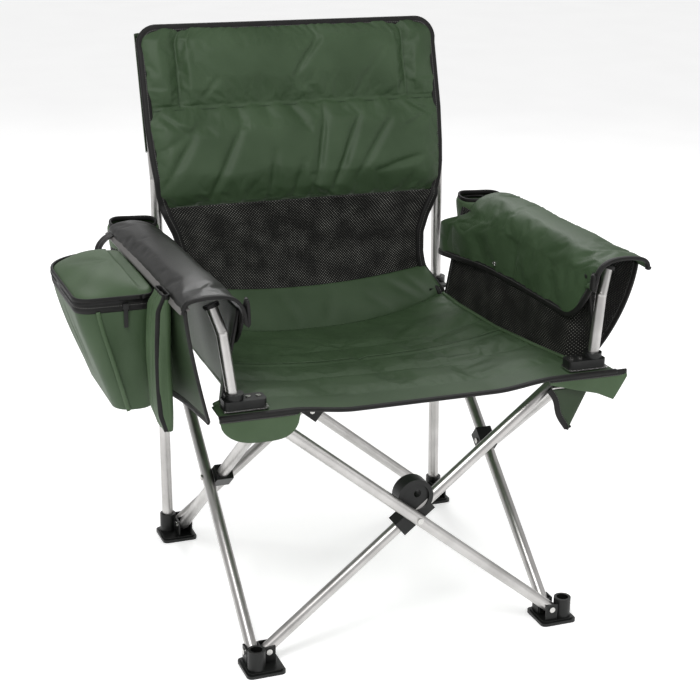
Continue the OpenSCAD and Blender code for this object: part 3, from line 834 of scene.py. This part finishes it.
def post_sleeves():
    """Cloth pockets behind the back that take the tops of the posts."""
    for side in (LEFT, RIGHT):
        v, a = np.meshgrid(np.linspace(0, 1, 30), np.linspace(-0.2, math.pi + 0.2, 22), indexing="ij")
        z = SLEEVE_LOW_Z + v * (back_top - 14 - SLEEVE_LOW_Z)
        x = side * post_x + SLEEVE_R * np.cos(a)
        y = post_y(z) + SLEEVE_R * np.sin(a) - 1.5
        wave = 0.9 * np.sin(z / 11) * np.sin(a)
        grid = np.stack([x, np.maximum(y, post_y(z) - 11.5) + wave, z], axis=2)
        # The darker green copy: painted shade on the sleeves behind the back.
        piece = cloth_sheet(f"post_sleeve_{SIDE_NAME[side]}", grid, green_painted_shade, 1.4)
        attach(piece, f"{SIDE_NAME[side]}_back_post")


# ---------------------------------------------------------------- seat

SEAT_Z = seat_top - 4.0
SEAT_BREAK = 0.0
SEAT_CROSS_SEAMS = (-112, -14, 82)
# Folds of the seat, each from a start to an end in x and y, with a depth and a width.
SEAT_FOLDS = (
    ((-300, -200), (-40, -60), 2.5, 14), ((-280, -150), (-30, 20), 2.0, 14),
    ((300, -200), (60, -120), 2.5, 14), ((300, -120), (60, -50), 2.5, 12),
    ((290, 100), (90, 20), 2.5, 14), ((-280, 120), (-80, 60), 2, 14),
    ((-250, 240), (-60, 120), 3, 12), ((250, 240), (100, 110), 3, 12),
    ((-60, -290), (120, -240), 1.6, 14), ((330, -240), (270, -200), 3, 8),
    ((-330, -240), (-270, -200), 3, 8),
)


def seat_half_at(y):
    """Half width of the seat: wide under the brackets, then just inside the side tubes."""
    return np.interp(y, [seat_front_y, -268, -225, 0, 200, CREASE_Y],
                     [seat_half, seat_half - 2, 318, 302, 294, 290])


def seat_z(x, y):
    """Height of the seat's cloth, hung from its corners."""
    s = (y - seat_front_y) / (CREASE_Y - seat_front_y)
    edge = np.interp(s, [0, 0.12, 0.3, 0.6, 0.88, 1], [SEAT_Z, SEAT_Z, 490, 479, 478, CREASE_EDGE_Z])
    mid = np.interp(s, [0, 0.12, 0.4, 0.7, 0.9, 1], [487, 483, 462, 446, 436, CREASE_MID_Z])
    u = np.abs(x) / seat_half_at(y)
    front = smooth(np.abs(x), 130, 250)
    rest = u ** 2.5
    share = front + (rest - front) * smooth(s, 0.05, 0.38)
    return mid + (edge - mid) * share


def seat_half_piece(half):
    """Front or rear half of the quilted seat."""
    rows, columns = 64, 150
    y0, y1 = (seat_front_y, SEAT_BREAK) if half == "front" else (SEAT_BREAK, CREASE_Y)
    y, t = np.meshgrid(np.linspace(y0, y1, rows), np.linspace(-1, 1, columns), indexing="ij")
    x = t * seat_half_at(y)
    z = seat_z(x, y)
    thin = 2.0 + 3.0 * smooth(y, -250, -215)
    near = np.min([np.abs(y - c) for c in SEAT_CROSS_SEAMS], axis=0)
    near = np.minimum(near, np.where(np.abs(y + 40) < 150, np.abs(x), 99))
    puff = np.minimum(1, near / 16) * np.minimum(1, (1 - np.abs(t)) * 30)
    behind_front = smooth(y, -285, -235)
    folds = -creases(x, y, SEAT_FOLDS, depth_share=0.5, width_share=1.6)
    top = z + thin * puff * 0.8 + folds * behind_front - 1.2 * (1 - np.minimum(1, near / 5)) * behind_front
    low = z - 1.2 - thin * 0.35
    front_skin = np.stack([x, y, top], axis=2)
    back_skin = np.stack([x, y, low], axis=2)
    seams = (near < NEAR_FLAT) | (y < -250) | (np.abs(y - SEAT_BREAK) < 3)
    piece = quilt(f"seat_{half}_pad", front_skin, back_skin, seams, green, pressure=0.9, grow=0.012, cap=5)
    on_seat(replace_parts(piece, f"seat_{half}"), half)


def seat_binding():
    """Tape along the seat's front edge and a rolled hem down each side."""
    x = np.linspace(-seat_half, seat_half, 120)
    y = np.full_like(x, seat_front_y)
    path = np.stack([x, y, seat_z(x, y)], axis=1)
    bind("seat_front_binding", path, (0, 1, 0), (0, 0, 1), lambda piece: on_seat(piece, "front"),
         "seat_front_pad", width=13, thick=6.5, lap=6)
    for side in (LEFT, RIGHT):
        for half, y0, y1 in (("front", -262, 0), ("rear", 0, CREASE_Y)):
            y = np.linspace(y0, y1, 50)
            x = side * (seat_half_at(y) - 1)
            path = np.stack([x, y, seat_z(x, y) + 1.5], axis=1)
            bind(f"seat_side_roll_{half}_{SIDE_NAME[side]}", path, (-side, 0, 0), (0, 0, 1),
                 lambda piece: on_seat(piece, half), f"seat_{half}_pad", green_painted_lit, "green_fabric",
                 width=9, thick=6, lap=5)


# ---------------------------------------------------------------- arms

PAD_SHARE = 0.62            # how much of the arm cover's width is padded
FLAP_LOW = 580.0
FLAP_REAR = 286.0
OUTER_LOW = {LEFT: 489.0, RIGHT: 500.0}
INNER_FRONT, INNER_REAR = -277, 248
PANEL_T = 1.8
# The left panels take the darker green copy: painted shade.
PANEL_LOOK = {LEFT: (green_painted_shade, "green_fabric"), RIGHT: (pocket_net, "black_mesh")}


def arm_section(side, y):
    """The arm cover across its width at y: outer top edge, over the pad, down to the inner lower edge."""
    lift = 3 * math.cos((y - arm_front) / (arm_rear - arm_front) * math.pi * 0.5)
    top = arm_top + lift
    drop = smooth(y, 60, arm_rear) * 16
    low = FLAP_LOW - drop * 0.8 + 98 * max(0.0, (-205 - y) / (-205 - arm_front)) ** 2.2
    tuck = 14 * float(1 - smooth(y, arm_front, -215))
    if side == LEFT:
        low += 16
    points = [(arm_out - 1, top - 22), (arm_out - 4, top - 9), (arm_out - 16, top - 1),
              (arm_out - 50, top + 3), (arm_in + 24, top - 2 - drop * 0.3),
              (arm_in + 5, top - 20 - drop * 0.4), (arm_in - 3, top - 52),
              (arm_in - 5 + tuck * 0.2, (top + low) / 2 - 16), (arm_in - 6 + tuck * 0.4, low)]
    return [(side * a, y, b) for a, b in points]


def arm_cover(side):
    """The padded arm with its inner flap, charcoal vinyl on the left and green cloth on the right."""
    name = SIDE_NAME[side]
    rows, columns = 84, 66
    ys = np.linspace(arm_front, arm_rear + 1, rows)
    outer = np.array([spline(arm_section(side, y), columns) for y in ys])
    reach = smooth(np.linspace(0, 1, columns), 0.56, 0.74) * (FLAP_REAR - arm_rear)
    outer[:, :, 1] += reach[None, :] * smooth(ys, -60, arm_rear)[:, None]
    outer[:, :, 0] -= side * reach[None, :] * smooth(ys, -20, arm_rear)[:, None] * 0.36
    along = np.gradient(outer, axis=0)
    across = np.gradient(outer, axis=1)
    out = np.cross(across, along) * side
    out /= np.linalg.norm(out, axis=2, keepdims=True)
    out *= np.sign((out * np.array([side * 0.2, 0, 1.0])).sum(2, keepdims=True).mean())
    share = np.linspace(0, 1, columns)[None, :]
    pad = np.sin(np.clip(share / PAD_SHARE, 0, 1) * math.pi) ** 0.6 * (share < PAD_SHARE)
    ends = np.minimum(1, np.minimum(np.arange(rows), np.arange(rows)[::-1]) / 6)[:, None]
    inner = outer - out * (2.5 + 8 * pad * ends)[:, :, None]
    y = outer[:, :, 1]
    ripple = 0.5 * np.sin(y / 23 + share * 7) * share * ends
    ripple = ripple + 1.4 * np.sin(y / 71 + 1.1) * smooth(share, 0.55, 1) * ends
    bulge = 2.5 * pad * ends
    outer = outer + out * (ripple + bulge)[:, :, None]
    seams = np.broadcast_to(np.abs(share - PAD_SHARE) < 0.012, (rows, columns))
    skins = (outer, inner) if side == LEFT else (outer[:, ::-1], inner[:, ::-1])
    piece = quilt(f"arm_cover_cloth_{name}", *skins, seams if side == LEFT else seams[:, ::-1],
                  vinyl if side == LEFT else green, pressure=0.8,
                  grow=0.004 if side == LEFT else 0.01, cap=4)
    fix_normals(piece)
    on_arm(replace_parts(piece, f"arm_cover_{name}"), side)
    for part, edge, face, inward, section in (
            ("front", outer[0], out[0], (0, 1, 0), {"width": 13, "thick": 6.5, "lap": 5}),
            ("flap", outer[:, -1], out[:, -1], (0, 0.9, 1), {"width": 14, "thick": 6, "lap": 6})):
        bind(f"arm_{part}_binding_{name}", edge - face * 1.2, inward, face,
             lambda binding: on_arm(binding, side), piece.name, **section)
    return outer


def arm_edge_piping(side, outer):
    """Piping along the outer top edge: grey on the vinyl arm, black on the cloth one."""
    finish, slot, width = (piping_grey, "grey_pad", 19) if side == LEFT else (tape_black, "black_mesh", 9)
    bind(f"arm_piping_{SIDE_NAME[side]}", outer[:, 1], (-side, 0, 0.4), (side, 0, 0.6),
         lambda piece: on_arm(piece, side), f"arm_cover_cloth_{SIDE_NAME[side]}", finish, slot,
         width=width, thick=6, lap=6)


def outer_panel(side):
    """Cloth that hangs from the outer edge of the arm: green on the left, a mesh pocket on the right."""
    name = SIDE_NAME[side]
    y_end = {LEFT: 150.0, RIGHT: 205.0}[side]
    v, s = np.meshgrid(np.linspace(0, 1, 40), np.linspace(0, 1, 60), indexing="ij")
    front_y = arm_front + (6 * v if side == LEFT else 36 + 60 * v ** 2)
    y = front_y + (y_end - front_y) * s
    top = arm_top - 14
    low = OUTER_LOW[side] + 10 * s
    z = top + (low - top) * v
    lean = 48 * v ** 1.3 * (1 - smooth(s, 0.0, 0.55)) + 3
    belly = 0 if side == LEFT else 7 * np.sin(math.pi * v) * np.sin(math.pi * s)
    x = side * (arm_out - 3 - lean * 0.8 + belly + 1.5 * np.sin(s * 19) * v)
    if side == LEFT:
        x = np.maximum(x, -arm_out + 2.5)
    finish, slot = PANEL_LOOK[side]
    grid = np.stack([x, y, z], axis=2)
    piece = cloth_sheet(f"outer_panel_{name}", grid, finish, PANEL_T)
    on_arm(piece, side)
    for part, line, inward in (("front", grid[:, 0], (0, 1, 0)), ("low", grid[-1], (0, 0, 1))):
        bind(f"outer_panel_{part}_binding_{name}", line, inward, (side, 0, 0),
             lambda edge: on_arm(edge, side), piece.name, width=13, thick=5.5, lap=6)


def inner_panel(side):
    """Cloth between the arm cover and the seat's side."""
    name = SIDE_NAME[side]
    v, s = np.meshgrid(np.linspace(0, 1, 36), np.linspace(0, 1, 60), indexing="ij")
    y = INNER_FRONT + (INNER_REAR - INNER_FRONT) * s
    foot_x = np.minimum(seat_half_at(y), 352) + 1.5
    foot_z = seat_z(foot_x, y) - 3 + 9 * smooth(-y, 225, 262)
    top = arm_top - 30
    z = top + (foot_z - top) * v
    x = (arm_in + 3) + (foot_x - arm_in - 3) * v ** 1.2 + 2.5 * np.sin(s * 17) * np.sin(math.pi * v)
    x = x + 3 * np.sin(math.pi * v) * (1 - smooth(s, 0, 0.3))
    grid = np.stack([side * x, y, z], axis=2)
    finish, slot = PANEL_LOOK[side]
    piece = cloth_sheet(f"inner_panel_{name}", grid, finish, PANEL_T)
    on_arm(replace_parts(piece, f"side_panel_{name}"), side)
    for part, line, way in (("front", grid[:, 0], 1), ("rear", grid[:, -1], -1)):
        bind(f"inner_panel_{part}_binding_{name}", line, (0, way, 0), (-side, 0, 0),
             lambda edge: on_arm(edge, side), piece.name, width=12, thick=5.5, lap=6)


STUD_R = 4.2
STUD_DEPTH = 6
STUD_Y = 60.0


def snap(side, cover, y):
    """A plated press stud on the inner flap."""
    column = cover[:, -7]       # the line of points a little above the flap's lower edge
    row = int(np.argmin(np.abs(column[:, 1] - y)))
    place = placed(column[row] - np.array([side * 3.0, 0, 0]))[0]
    bpy.ops.mesh.primitive_cylinder_add(vertices=28, radius=STUD_R * MM, depth=STUD_DEPTH * MM,
                                        location=place, rotation=(0, math.pi / 2, 0))
    stud = bpy.context.object
    stud.name = f"press_stud_{SIDE_NAME[side]}"
    bpy.ops.object.mode_set(mode="EDIT")
    bpy.ops.mesh.select_all(action="SELECT")
    bpy.ops.mesh.bevel(offset=0.7 * MM, segments=2)
    bpy.ops.object.mode_set(mode="OBJECT")
    bpy.ops.object.transform_apply(location=True, rotation=True, scale=True)
    stud.data.shade_smooth()
    paint(stud, rivet_steel)
    on_arm(stud, side)


def cup_pocket(side):
    """The cup holder's cloth collar and its mesh pouch, sewn round the ring."""
    name = SIDE_NAME[side]
    low, high = corner(f"cup_ring_{name}", 0) - middle, corner(f"cup_ring_{name}", 1) - middle
    cx, cy, cz = (low + high) / 2
    r = (high[0] - low[0]) / 2 - 2.5
    for part, heights, radii, finish, slot, tall in (
            ("collar", (9, 5, 0, -14, -34), (r - 1.5, r + 2.2, r + 4.0, r + 3.0, r),
             green_painted_lit, "green_fabric", 0.058),
            ("pouch", (-33, -60, -86, -92, -94), (r - 0.5, r - 4, r - 9, r - 20, 2),
             pocket_net, "black_mesh", 0.074)):
        profile = spline(np.array([radii, heights]).T, 22)
        out, up = profile[:, :1], profile[:, 1:]
        a = np.linspace(0, 2 * math.pi, 56, endpoint=False)
        rad = out + 1.0 * np.sin(a * 7)[None, :] * smooth(-up, 0, 60)
        grid = np.stack([cx + rad * np.cos(a), cy + rad * np.sin(a),
                         cz + up + 1.6 * np.sin(a * 3 + 0.5) * (up > 5)], axis=2)
        uv = np.stack(np.broadcast_arrays((a * r * MM)[None, :], np.abs(up) * MM), axis=2)
        piece = make_mesh(f"cup_{part}_{name}", grid, grid_faces(*grid.shape[:2], closed=True), uv)
        paint(piece, finish)
        give_wall(piece, PANEL_T)
        fix_normals(piece)
        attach(piece, f"{name}_slider")
        if part == "collar":
            a = np.append(np.linspace(0, 2 * math.pi, 60, endpoint=False), 0)
            rim = np.stack([cx + (r - 0.5) * np.cos(a), cy + (r - 0.5) * np.sin(a),
                            cz + 9 + 1.6 * np.sin(a * 3 + 0.5)], axis=1)
            rim[-1] += LOOP_GAP
            bind(f"cup_rim_binding_{name}", rim, (0, 0, -1), np.array([np.cos(a), np.sin(a), 0 * a]).T,
                 only_on(f"{name}_slider"), piece.name, width=9, thick=5, lap=5)


# ---------------------------------------------------------------- corner flaps

def corner_flaps():
    """Half-moon flaps that hang in front of the brackets, and the pocket's tail on the right."""
    for side in (LEFT, RIGHT):
        name = SIDE_NAME[side]
        low, high = corner(f"corner_flap_{name}", 0) - middle, corner(f"corner_flap_{name}", 1) - middle
        mid = (low[0] + high[0]) / 2
        half = (high[0] - low[0]) / 2
        v, u = np.meshgrid(np.linspace(0, 1, 26), np.linspace(-1, 1, 44), indexing="ij")
        if side == LEFT:
            depth = (high[2] - low[2] - 8) * np.sqrt(np.clip(1 - np.abs(u) ** 3, 0, 1)) * (1 + 0.1 * u) + 2
            x = mid - 12 + u * (half + 8)
        else:
            out = u * 0.5 + 0.5
            depth = 8 + (high[2] - low[2] - 8) * np.interp(out, [0, 0.62, 0.84, 1], [0.05, 0.62, 0.95, 0.02])
            x = mid - 52 + (half * 2 + 30) * out
        z = high[2] + 3 - depth * v
        y = (low[1] + high[1]) / 2 - 1.2 - 3.5 * np.sin(v * math.pi * 0.6) + 1.5 * np.sin(u * 5) * v
        piece = cloth_sheet(f"corner_flap_cloth_{name}", np.stack([x, y, z], axis=2), green_painted_lit, PANEL_T)
        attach(piece, f"{name}_arm")
        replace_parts(piece, f"corner_flap_{name}")
        edge = np.stack([x[0], y[0] - 1, z[0] - 1], axis=1)
        bind(f"corner_flap_top_binding_{name}", edge, (0, 0, -1), (0, -1, 0), only_on(f"{name}_arm"),
             piece.name, width=12, thick=5, lap=5)
    pocket_tail(high[1] + 5.0)


def pocket_tail(y_front):
    """The loose pointed end of the right pocket, below the right flap."""
    v, u = np.meshgrid(np.linspace(0, 1, 30), np.linspace(0, 1, 20), indexing="ij")
    z = 474 - 76 * v
    left = 240 + 38 * v ** 0.9 + 3 * np.sin(v * 7)
    right = 322 - 38 * v
    x = left + (right - left) * u
    y = np.full_like(x, y_front) + 2 * np.sin(u * 6) * v
    grid = np.stack([x, y - 1.5, z], axis=2)
    tail = cloth_sheet("pocket_tail", grid, green_painted_shade, PANEL_T)
    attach(tail, "right_arm")
    line = np.vstack([grid[:, 0], grid[-1, 1:]])
    bind("pocket_tail_binding", spline(line[::3], 50), (1, 0, 0.5), (0, -1, 0), only_on("right_arm"),
         "pocket_tail", width=11, thick=5, lap=5)


# ---------------------------------------------------------------- cooler bag

BAG_REAR_R = 92.0


def rounded_ring(x0, x1, y0, y1, r, count, rear=None):
    """Points round a rectangle with round corners; rear is the radius of its outer rear corner."""
    big = rear or r
    corners = ((x1 - r, y0 + r, -90, r), (x1 - r, y1 - r, 0, r),
               (x0 + big, y1 - big, 90, big), (x0 + r, y0 + r, 180, r))
    run = []
    for cx, cy, turn, radius in corners:
        for a in np.radians(turn + np.linspace(0, 90, 9)):
            run.append((cx + radius * math.cos(a), cy + radius * math.sin(a)))
    run = np.array(run + [run[0]])
    length = np.concatenate([[0], np.cumsum(np.linalg.norm(np.diff(run, axis=0), axis=1))])
    want = np.linspace(0, length[-1], count, endpoint=False)
    return np.stack([np.interp(want, length, run[:, 0]), np.interp(want, length, run[:, 1])], axis=1)


def ring_shell(name, rings, finish, cap_top=False, cap_low=False, looped=False):
    """A closed or open shell lofted through rings of points."""
    grid = np.array(rings, float)
    rows, columns = grid.shape[:2]
    faces = grid_faces(rows, columns, closed=True)
    if looped:
        last = (rows - 1) * columns
        faces += [(last + c, last + (c + 1) % columns, (c + 1) % columns, c) for c in range(columns)]
    points = grid.reshape(-1, 3)
    uv = run_lengths(grid).reshape(-1, 2)
    extra = []
    for use, row in ((cap_top, 0), (cap_low, rows - 1)):
        if use:
            hub = len(points) + len(extra)
            extra.append(grid[row].mean(0))
            ring = [row * columns + c for c in range(columns)]
            for c in range(columns):
                tri = (ring[c], ring[(c + 1) % columns], hub)
                faces.append(tri if row else tri[::-1])
            uv = np.vstack([uv, uv[row * columns] + [0.05, 0.05]])
    if extra:
        points = np.vstack([points, extra])
    piece = make_mesh(name, points, faces, uv)
    fix_normals(piece)
    paint(piece, finish)
    return piece


BAG_IN, BAG_OUT = bag_high[0] - 0.6, bag_low[0] + 10
BAG_FRONT, BAG_REAR = bag_low[1] + 3, bag_high[1] - 16
BAG_TOP_Z, BAG_LOW_Z = lid_high[2] - 30, bag_low[2]
BAG_CORNER_R = 24.0
BAG_COUNT = 150             # points round the bag and its lid
# The zip band's section as heights over the bag's top and how far each stands out.
ZIP_BAND_SECTION = ((16, 0.5), (15, 2.6), (9, 3.4), (8, 2.4), (7, 3.4),
                    (1, 3.0), (-3, 1.4), (-3.5, -1), (15, -1.2))


def bag_narrow(v):
    """How far the bag's outer side has moved in, v of the way down."""
    return 66 * v ** 1.25 + 4 * math.sin(v * math.pi)


def cooler_bag():
    """The soft cooler bag: a lofted shell that narrows and sags, with its zip band and front seam."""
    rings = []
    for v in np.linspace(0, 1, 46):
        pull = 20 * v ** 1.6
        ring = rounded_ring(BAG_OUT + bag_narrow(v), BAG_IN, BAG_FRONT + pull, BAG_REAR - pull,
                            BAG_CORNER_R + 6 * v, BAG_COUNT, BAG_REAR_R * (1 - 0.5 * v))
        centre = ring.mean(0)
        away = ring - centre
        a = np.arctan2(away[:, 1], away[:, 0])
        outward = away / np.linalg.norm(away, axis=1, keepdims=True)
        wave = 1.8 * np.sin(a * 9 + 1) + 1.2 * np.sin(a * 17 + v * 3)
        wave = wave * math.sin(math.pi * min(1, v * 1.2)) * 0.8
        wave = wave + 3.0 * math.sin(v * math.pi) * np.abs(np.sin(a * 2)) ** 2
        free = smooth(-ring[:, 0], -BAG_IN + 1, -BAG_IN + 22)
        ring = ring + outward * (wave * free)[:, None]
        ring[:, 0] = np.minimum(ring[:, 0], BAG_IN)
        rings.append(np.column_stack([ring, np.full(BAG_COUNT, BAG_TOP_Z + (BAG_LOW_Z - BAG_TOP_Z) * v)]))
    base = rings[-1]
    mid = base.mean(0)
    for shrink, drop in ((0.93, 3.5), (0.8, 5), (0.5, 6), (0.2, 6.2)):
        ring = mid + (base - mid) * shrink
        ring[:, 2] = BAG_LOW_Z - drop + 6.3
        rings.append(ring)
    body = ring_shell("cooler_shell", rings, green, cap_low=True)
    give_wall(body, 4, offset=-1)
    on_bag(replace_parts(body, "cooler_body"))
    band_rings = []
    for up, grow in ZIP_BAND_SECTION:
        ring = rounded_ring(BAG_OUT - grow + 1, BAG_IN, BAG_FRONT - grow + 1, BAG_REAR + grow - 1,
                            BAG_CORNER_R + grow, 160, BAG_REAR_R + grow)
        band_rings.append(np.column_stack([ring, np.full(len(ring), BAG_TOP_Z + up)]))
    band = ring_shell("cooler_zip_band", band_rings, tape_black, looped=True)
    on_bag(band)
    path = []
    for v in np.linspace(0, 1, 30):
        path.append((BAG_OUT + bag_narrow(v) + 36 - 14 * v,
                     BAG_FRONT + 20 * v ** 1.6 - 1.8 - 2.6 * math.sin(v * math.pi),
                     BAG_TOP_Z + (BAG_LOW_Z - BAG_TOP_Z) * v))
    bind("cooler_front_seam", path, (1, 0, 0), (0, -1, 0), on_bag, "cooler_shell",
         green_painted_lit, "green_fabric", width=7.5, thick=4, lap=4)


def cooler_lid():
    """The domed lid: a quilted top that rises towards the arm, with soft pleats."""
    z0 = lid_high[2] - 14
    rings = []
    hub = np.array([BAG_IN - 46, (BAG_FRONT + BAG_REAR) / 2])
    for v in np.linspace(0, 1, 22):
        shrink = math.cos(v * math.pi / 2) ** 0.8 if v < 1 else 0.0
        rise = 24 * math.sin(v * math.pi / 2) ** 1.1
        ring = rounded_ring(BAG_OUT, BAG_IN, BAG_FRONT, BAG_REAR, BAG_CORNER_R, BAG_COUNT, BAG_REAR_R)
        ring = hub + (ring - hub) * max(shrink, 0.02)
        a = np.arctan2(ring[:, 1] - hub[1], ring[:, 0] - hub[0])
        tilt = 9 * smooth(ring[:, 0], BAG_OUT, BAG_IN - 10)
        pleat = 0.8 * np.sin(a * 7) + 1.4 * np.sin(ring[:, 0] / 15 + ring[:, 1] / 34)
        z = z0 + rise + tilt * math.sin(v * math.pi / 2) + pleat * math.sin(v * math.pi)
        clear_of_arm = lid_high[2] - 1 + 1.3 * np.maximum(0, BAG_IN - ring[:, 0] - 24)
        z = np.minimum(z, clear_of_arm)
        ring[:, 0] = np.minimum(ring[:, 0], BAG_IN)
        rings.append(np.column_stack([ring, z]))
    rim = np.column_stack([rings[0][:, :2], np.full(BAG_COUNT, z0 + 0.2)])
    hub = rings[0].mean(0)
    under = []
    for shrink in (0.1, 0.5, 0.95):
        ring = hub + (rings[0] - hub) * shrink
        ring[:, 2] = z0 + 0.2
        under.append(ring)
    # The lighter green copy: painted light on the lid.
    lid = ring_shell("cooler_lid_cloth", under + [rim] + rings, green_painted_lit, cap_top=True, cap_low=True)
    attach(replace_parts(lid, "cooler_lid"), "lid")
    ring = rounded_ring(BAG_OUT - 1, BAG_IN - 1, BAG_FRONT - 1, BAG_REAR + 1, BAG_CORNER_R + 1,
                        140, BAG_REAR_R)
    loop = np.column_stack([ring, np.full(len(ring), z0 + 3.0)])
    loop = np.vstack([loop, loop[:1] + LOOP_GAP])
    bind("cooler_lid_binding", loop, (0, 0, 1), loop - np.array([hub[0], hub[1], z0 + 3.0]), only_on("lid"),
         "cooler_lid_cloth", width=8, thick=5, lap=3)


TOOTH_SIZE = (1.4, 1.1, 4.2)


def zip_teeth():
    """Nylon coil teeth round the front and outer sides of the bag's mouth."""
    ring = rounded_ring(BAG_OUT - 2.4, BAG_IN + 10, BAG_FRONT - 2.4, BAG_REAR + 2.4, 26, 420, BAG_REAR_R)
    ring = ring[ring[:, 0] < BAG_IN - 4]
    bpy.ops.mesh.primitive_cube_add(size=1, location=(0, 0, 0))
    tooth = bpy.context.object
    mid = np.array([(BAG_IN + BAG_OUT) / 2, (BAG_FRONT + BAG_REAR) / 2])
    size = Matrix.Diagonal((*(edge * MM for edge in TOOTH_SIZE), 1))
    places = []
    for here in ring:
        way = here - mid
        turn = Matrix.Rotation(math.atan2(way[1], way[0]), 4, "Z")
        spot = Vector(placed([here[0], here[1], lid_high[2] - 15.5])[0])
        places.append(Matrix.Translation(spot) @ turn @ size)
    piece = copies("zip_teeth", tooth, places, nylon_zip)
    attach(piece, "left_arm")


def bag_strap():
    """Webbing strap from the bag's rear up to the cup holder's side of the arm."""
    path = spline([(BAG_IN - 36, bag_high[1] - 13, lid_high[2] - 24),
                   (BAG_IN - 31, bag_high[1] + 3, lid_high[2] - 4),
                   (BAG_IN - 14, bag_high[1] + 25, lid_high[2] + 6),
                   (BAG_IN + 8, bag_high[1] + 50, lid_high[2] + 8)], 40)
    piece, flat = tape("bag_strap", path, (0.3, -1, 0), (0, 0, 1), tape_black, width=20, thick=2.4, lap=10)
    on_arm(piece, LEFT)


def side_sleeve():
    """The tall pocket between the bag and the arm's front, open at the top."""
    x0, x1 = sleeve_low[0], sleeve_high[0] - 0.8
    y0, y1 = sleeve_low[1], sleeve_high[1]
    z0, z1 = sleeve_low[2], sleeve_high[2]
    rings = []
    count = 90
    for v in np.linspace(0, 1, 44):
        swell = 5 * math.sin(v * math.pi) ** 0.7
        tip = 7 * float(smooth(v, 0.86, 1)) + 10 * float(1 - smooth(v, 0, 0.12))
        sway = 4 * math.sin(v * 4.2)
        ring = rounded_ring(x0 - swell + tip, x1, y0 + sway + tip * 0.5, y1 + sway - tip * 0.4, 8, count)
        away = ring - ring.mean(0)
        a = np.arctan2(away[:, 1], away[:, 0])
        outward = away / np.linalg.norm(away, axis=1, keepdims=True)
        ring = ring + outward * (0.9 * np.sin(a * 5 + v * 9))[:, None]
        ring[:, 0] = np.minimum(ring[:, 0], x1)
        rings.append(np.column_stack([ring, np.full(count, z1 + (z0 - z1) * v)]))
    piece = ring_shell("bottle_sleeve_cloth", rings, green_painted_lit, cap_low=True)
    give_wall(piece, 1.6, offset=-1)
    on_bag(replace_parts(piece, "bottle_sleeve"))
    loop = np.vstack([rings[0], rings[0][:1] + LOOP_GAP])
    bind("bottle_sleeve_rim", loop, (0, 0, -1), loop - loop.mean(0), on_bag, "bottle_sleeve_cloth",
         width=9, thick=3.6, lap=3)
    line = [(r[:, 0].min() + 3, r[:, 1].min() + 1.0, r[0, 2]) for r in rings]
    bind("bottle_sleeve_edge", line, (1, 0, 0), (0, -1, 0), on_bag, "bottle_sleeve_cloth",
         width=8, thick=4, lap=4)


# ---------------------------------------------------------------- finishes on the frame's own nodes

def finish_nodes():
    """Finishes on the CAD nodes, chosen by the words in their names."""
    finishes = (
        (("leg_inner", "leg_outer", "back_post", "arm_post_left", "arm_post_right"), tube_steel),
        (("rivet",), rivet_steel), (("bracket_plate",), plate_steel),
        (("foot_front", "foot_rear", "saddle", "front_hub", "slider_left", "slider_right", "bracket_left",
          "bracket_right", "socket_block", "arm_post_cap"), nylon),
        (("zip_pull",), nylon_zip), (("cup_ring",), tape_black))
    for name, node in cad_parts.items():
        for words, finish in finishes:
            if any(word in name for word in words) and ("rivet" not in name or finish is rivet_steel):
                paint(node, finish)
        node.data.shade_smooth()
        bpy.context.view_layer.objects.active = node
        node.select_set(True)
        bpy.ops.object.shade_smooth_by_angle(angle=math.radians(35))
        node.select_set(False)


finish_nodes()
back_pad()
mesh_band()
lower_back()
back_binding()
post_sleeves()
for each_half in ("front", "rear"):
    seat_half_piece(each_half)
seat_binding()
for each_side in (LEFT, RIGHT):
    cover = arm_cover(each_side)
    arm_edge_piping(each_side, cover)
    outer_panel(each_side)
    inner_panel(each_side)
    snap(each_side, cover, STUD_Y)
    cup_pocket(each_side)
corner_flaps()
cooler_bag()
cooler_lid()
zip_teeth()
bag_strap()
side_sleeve()
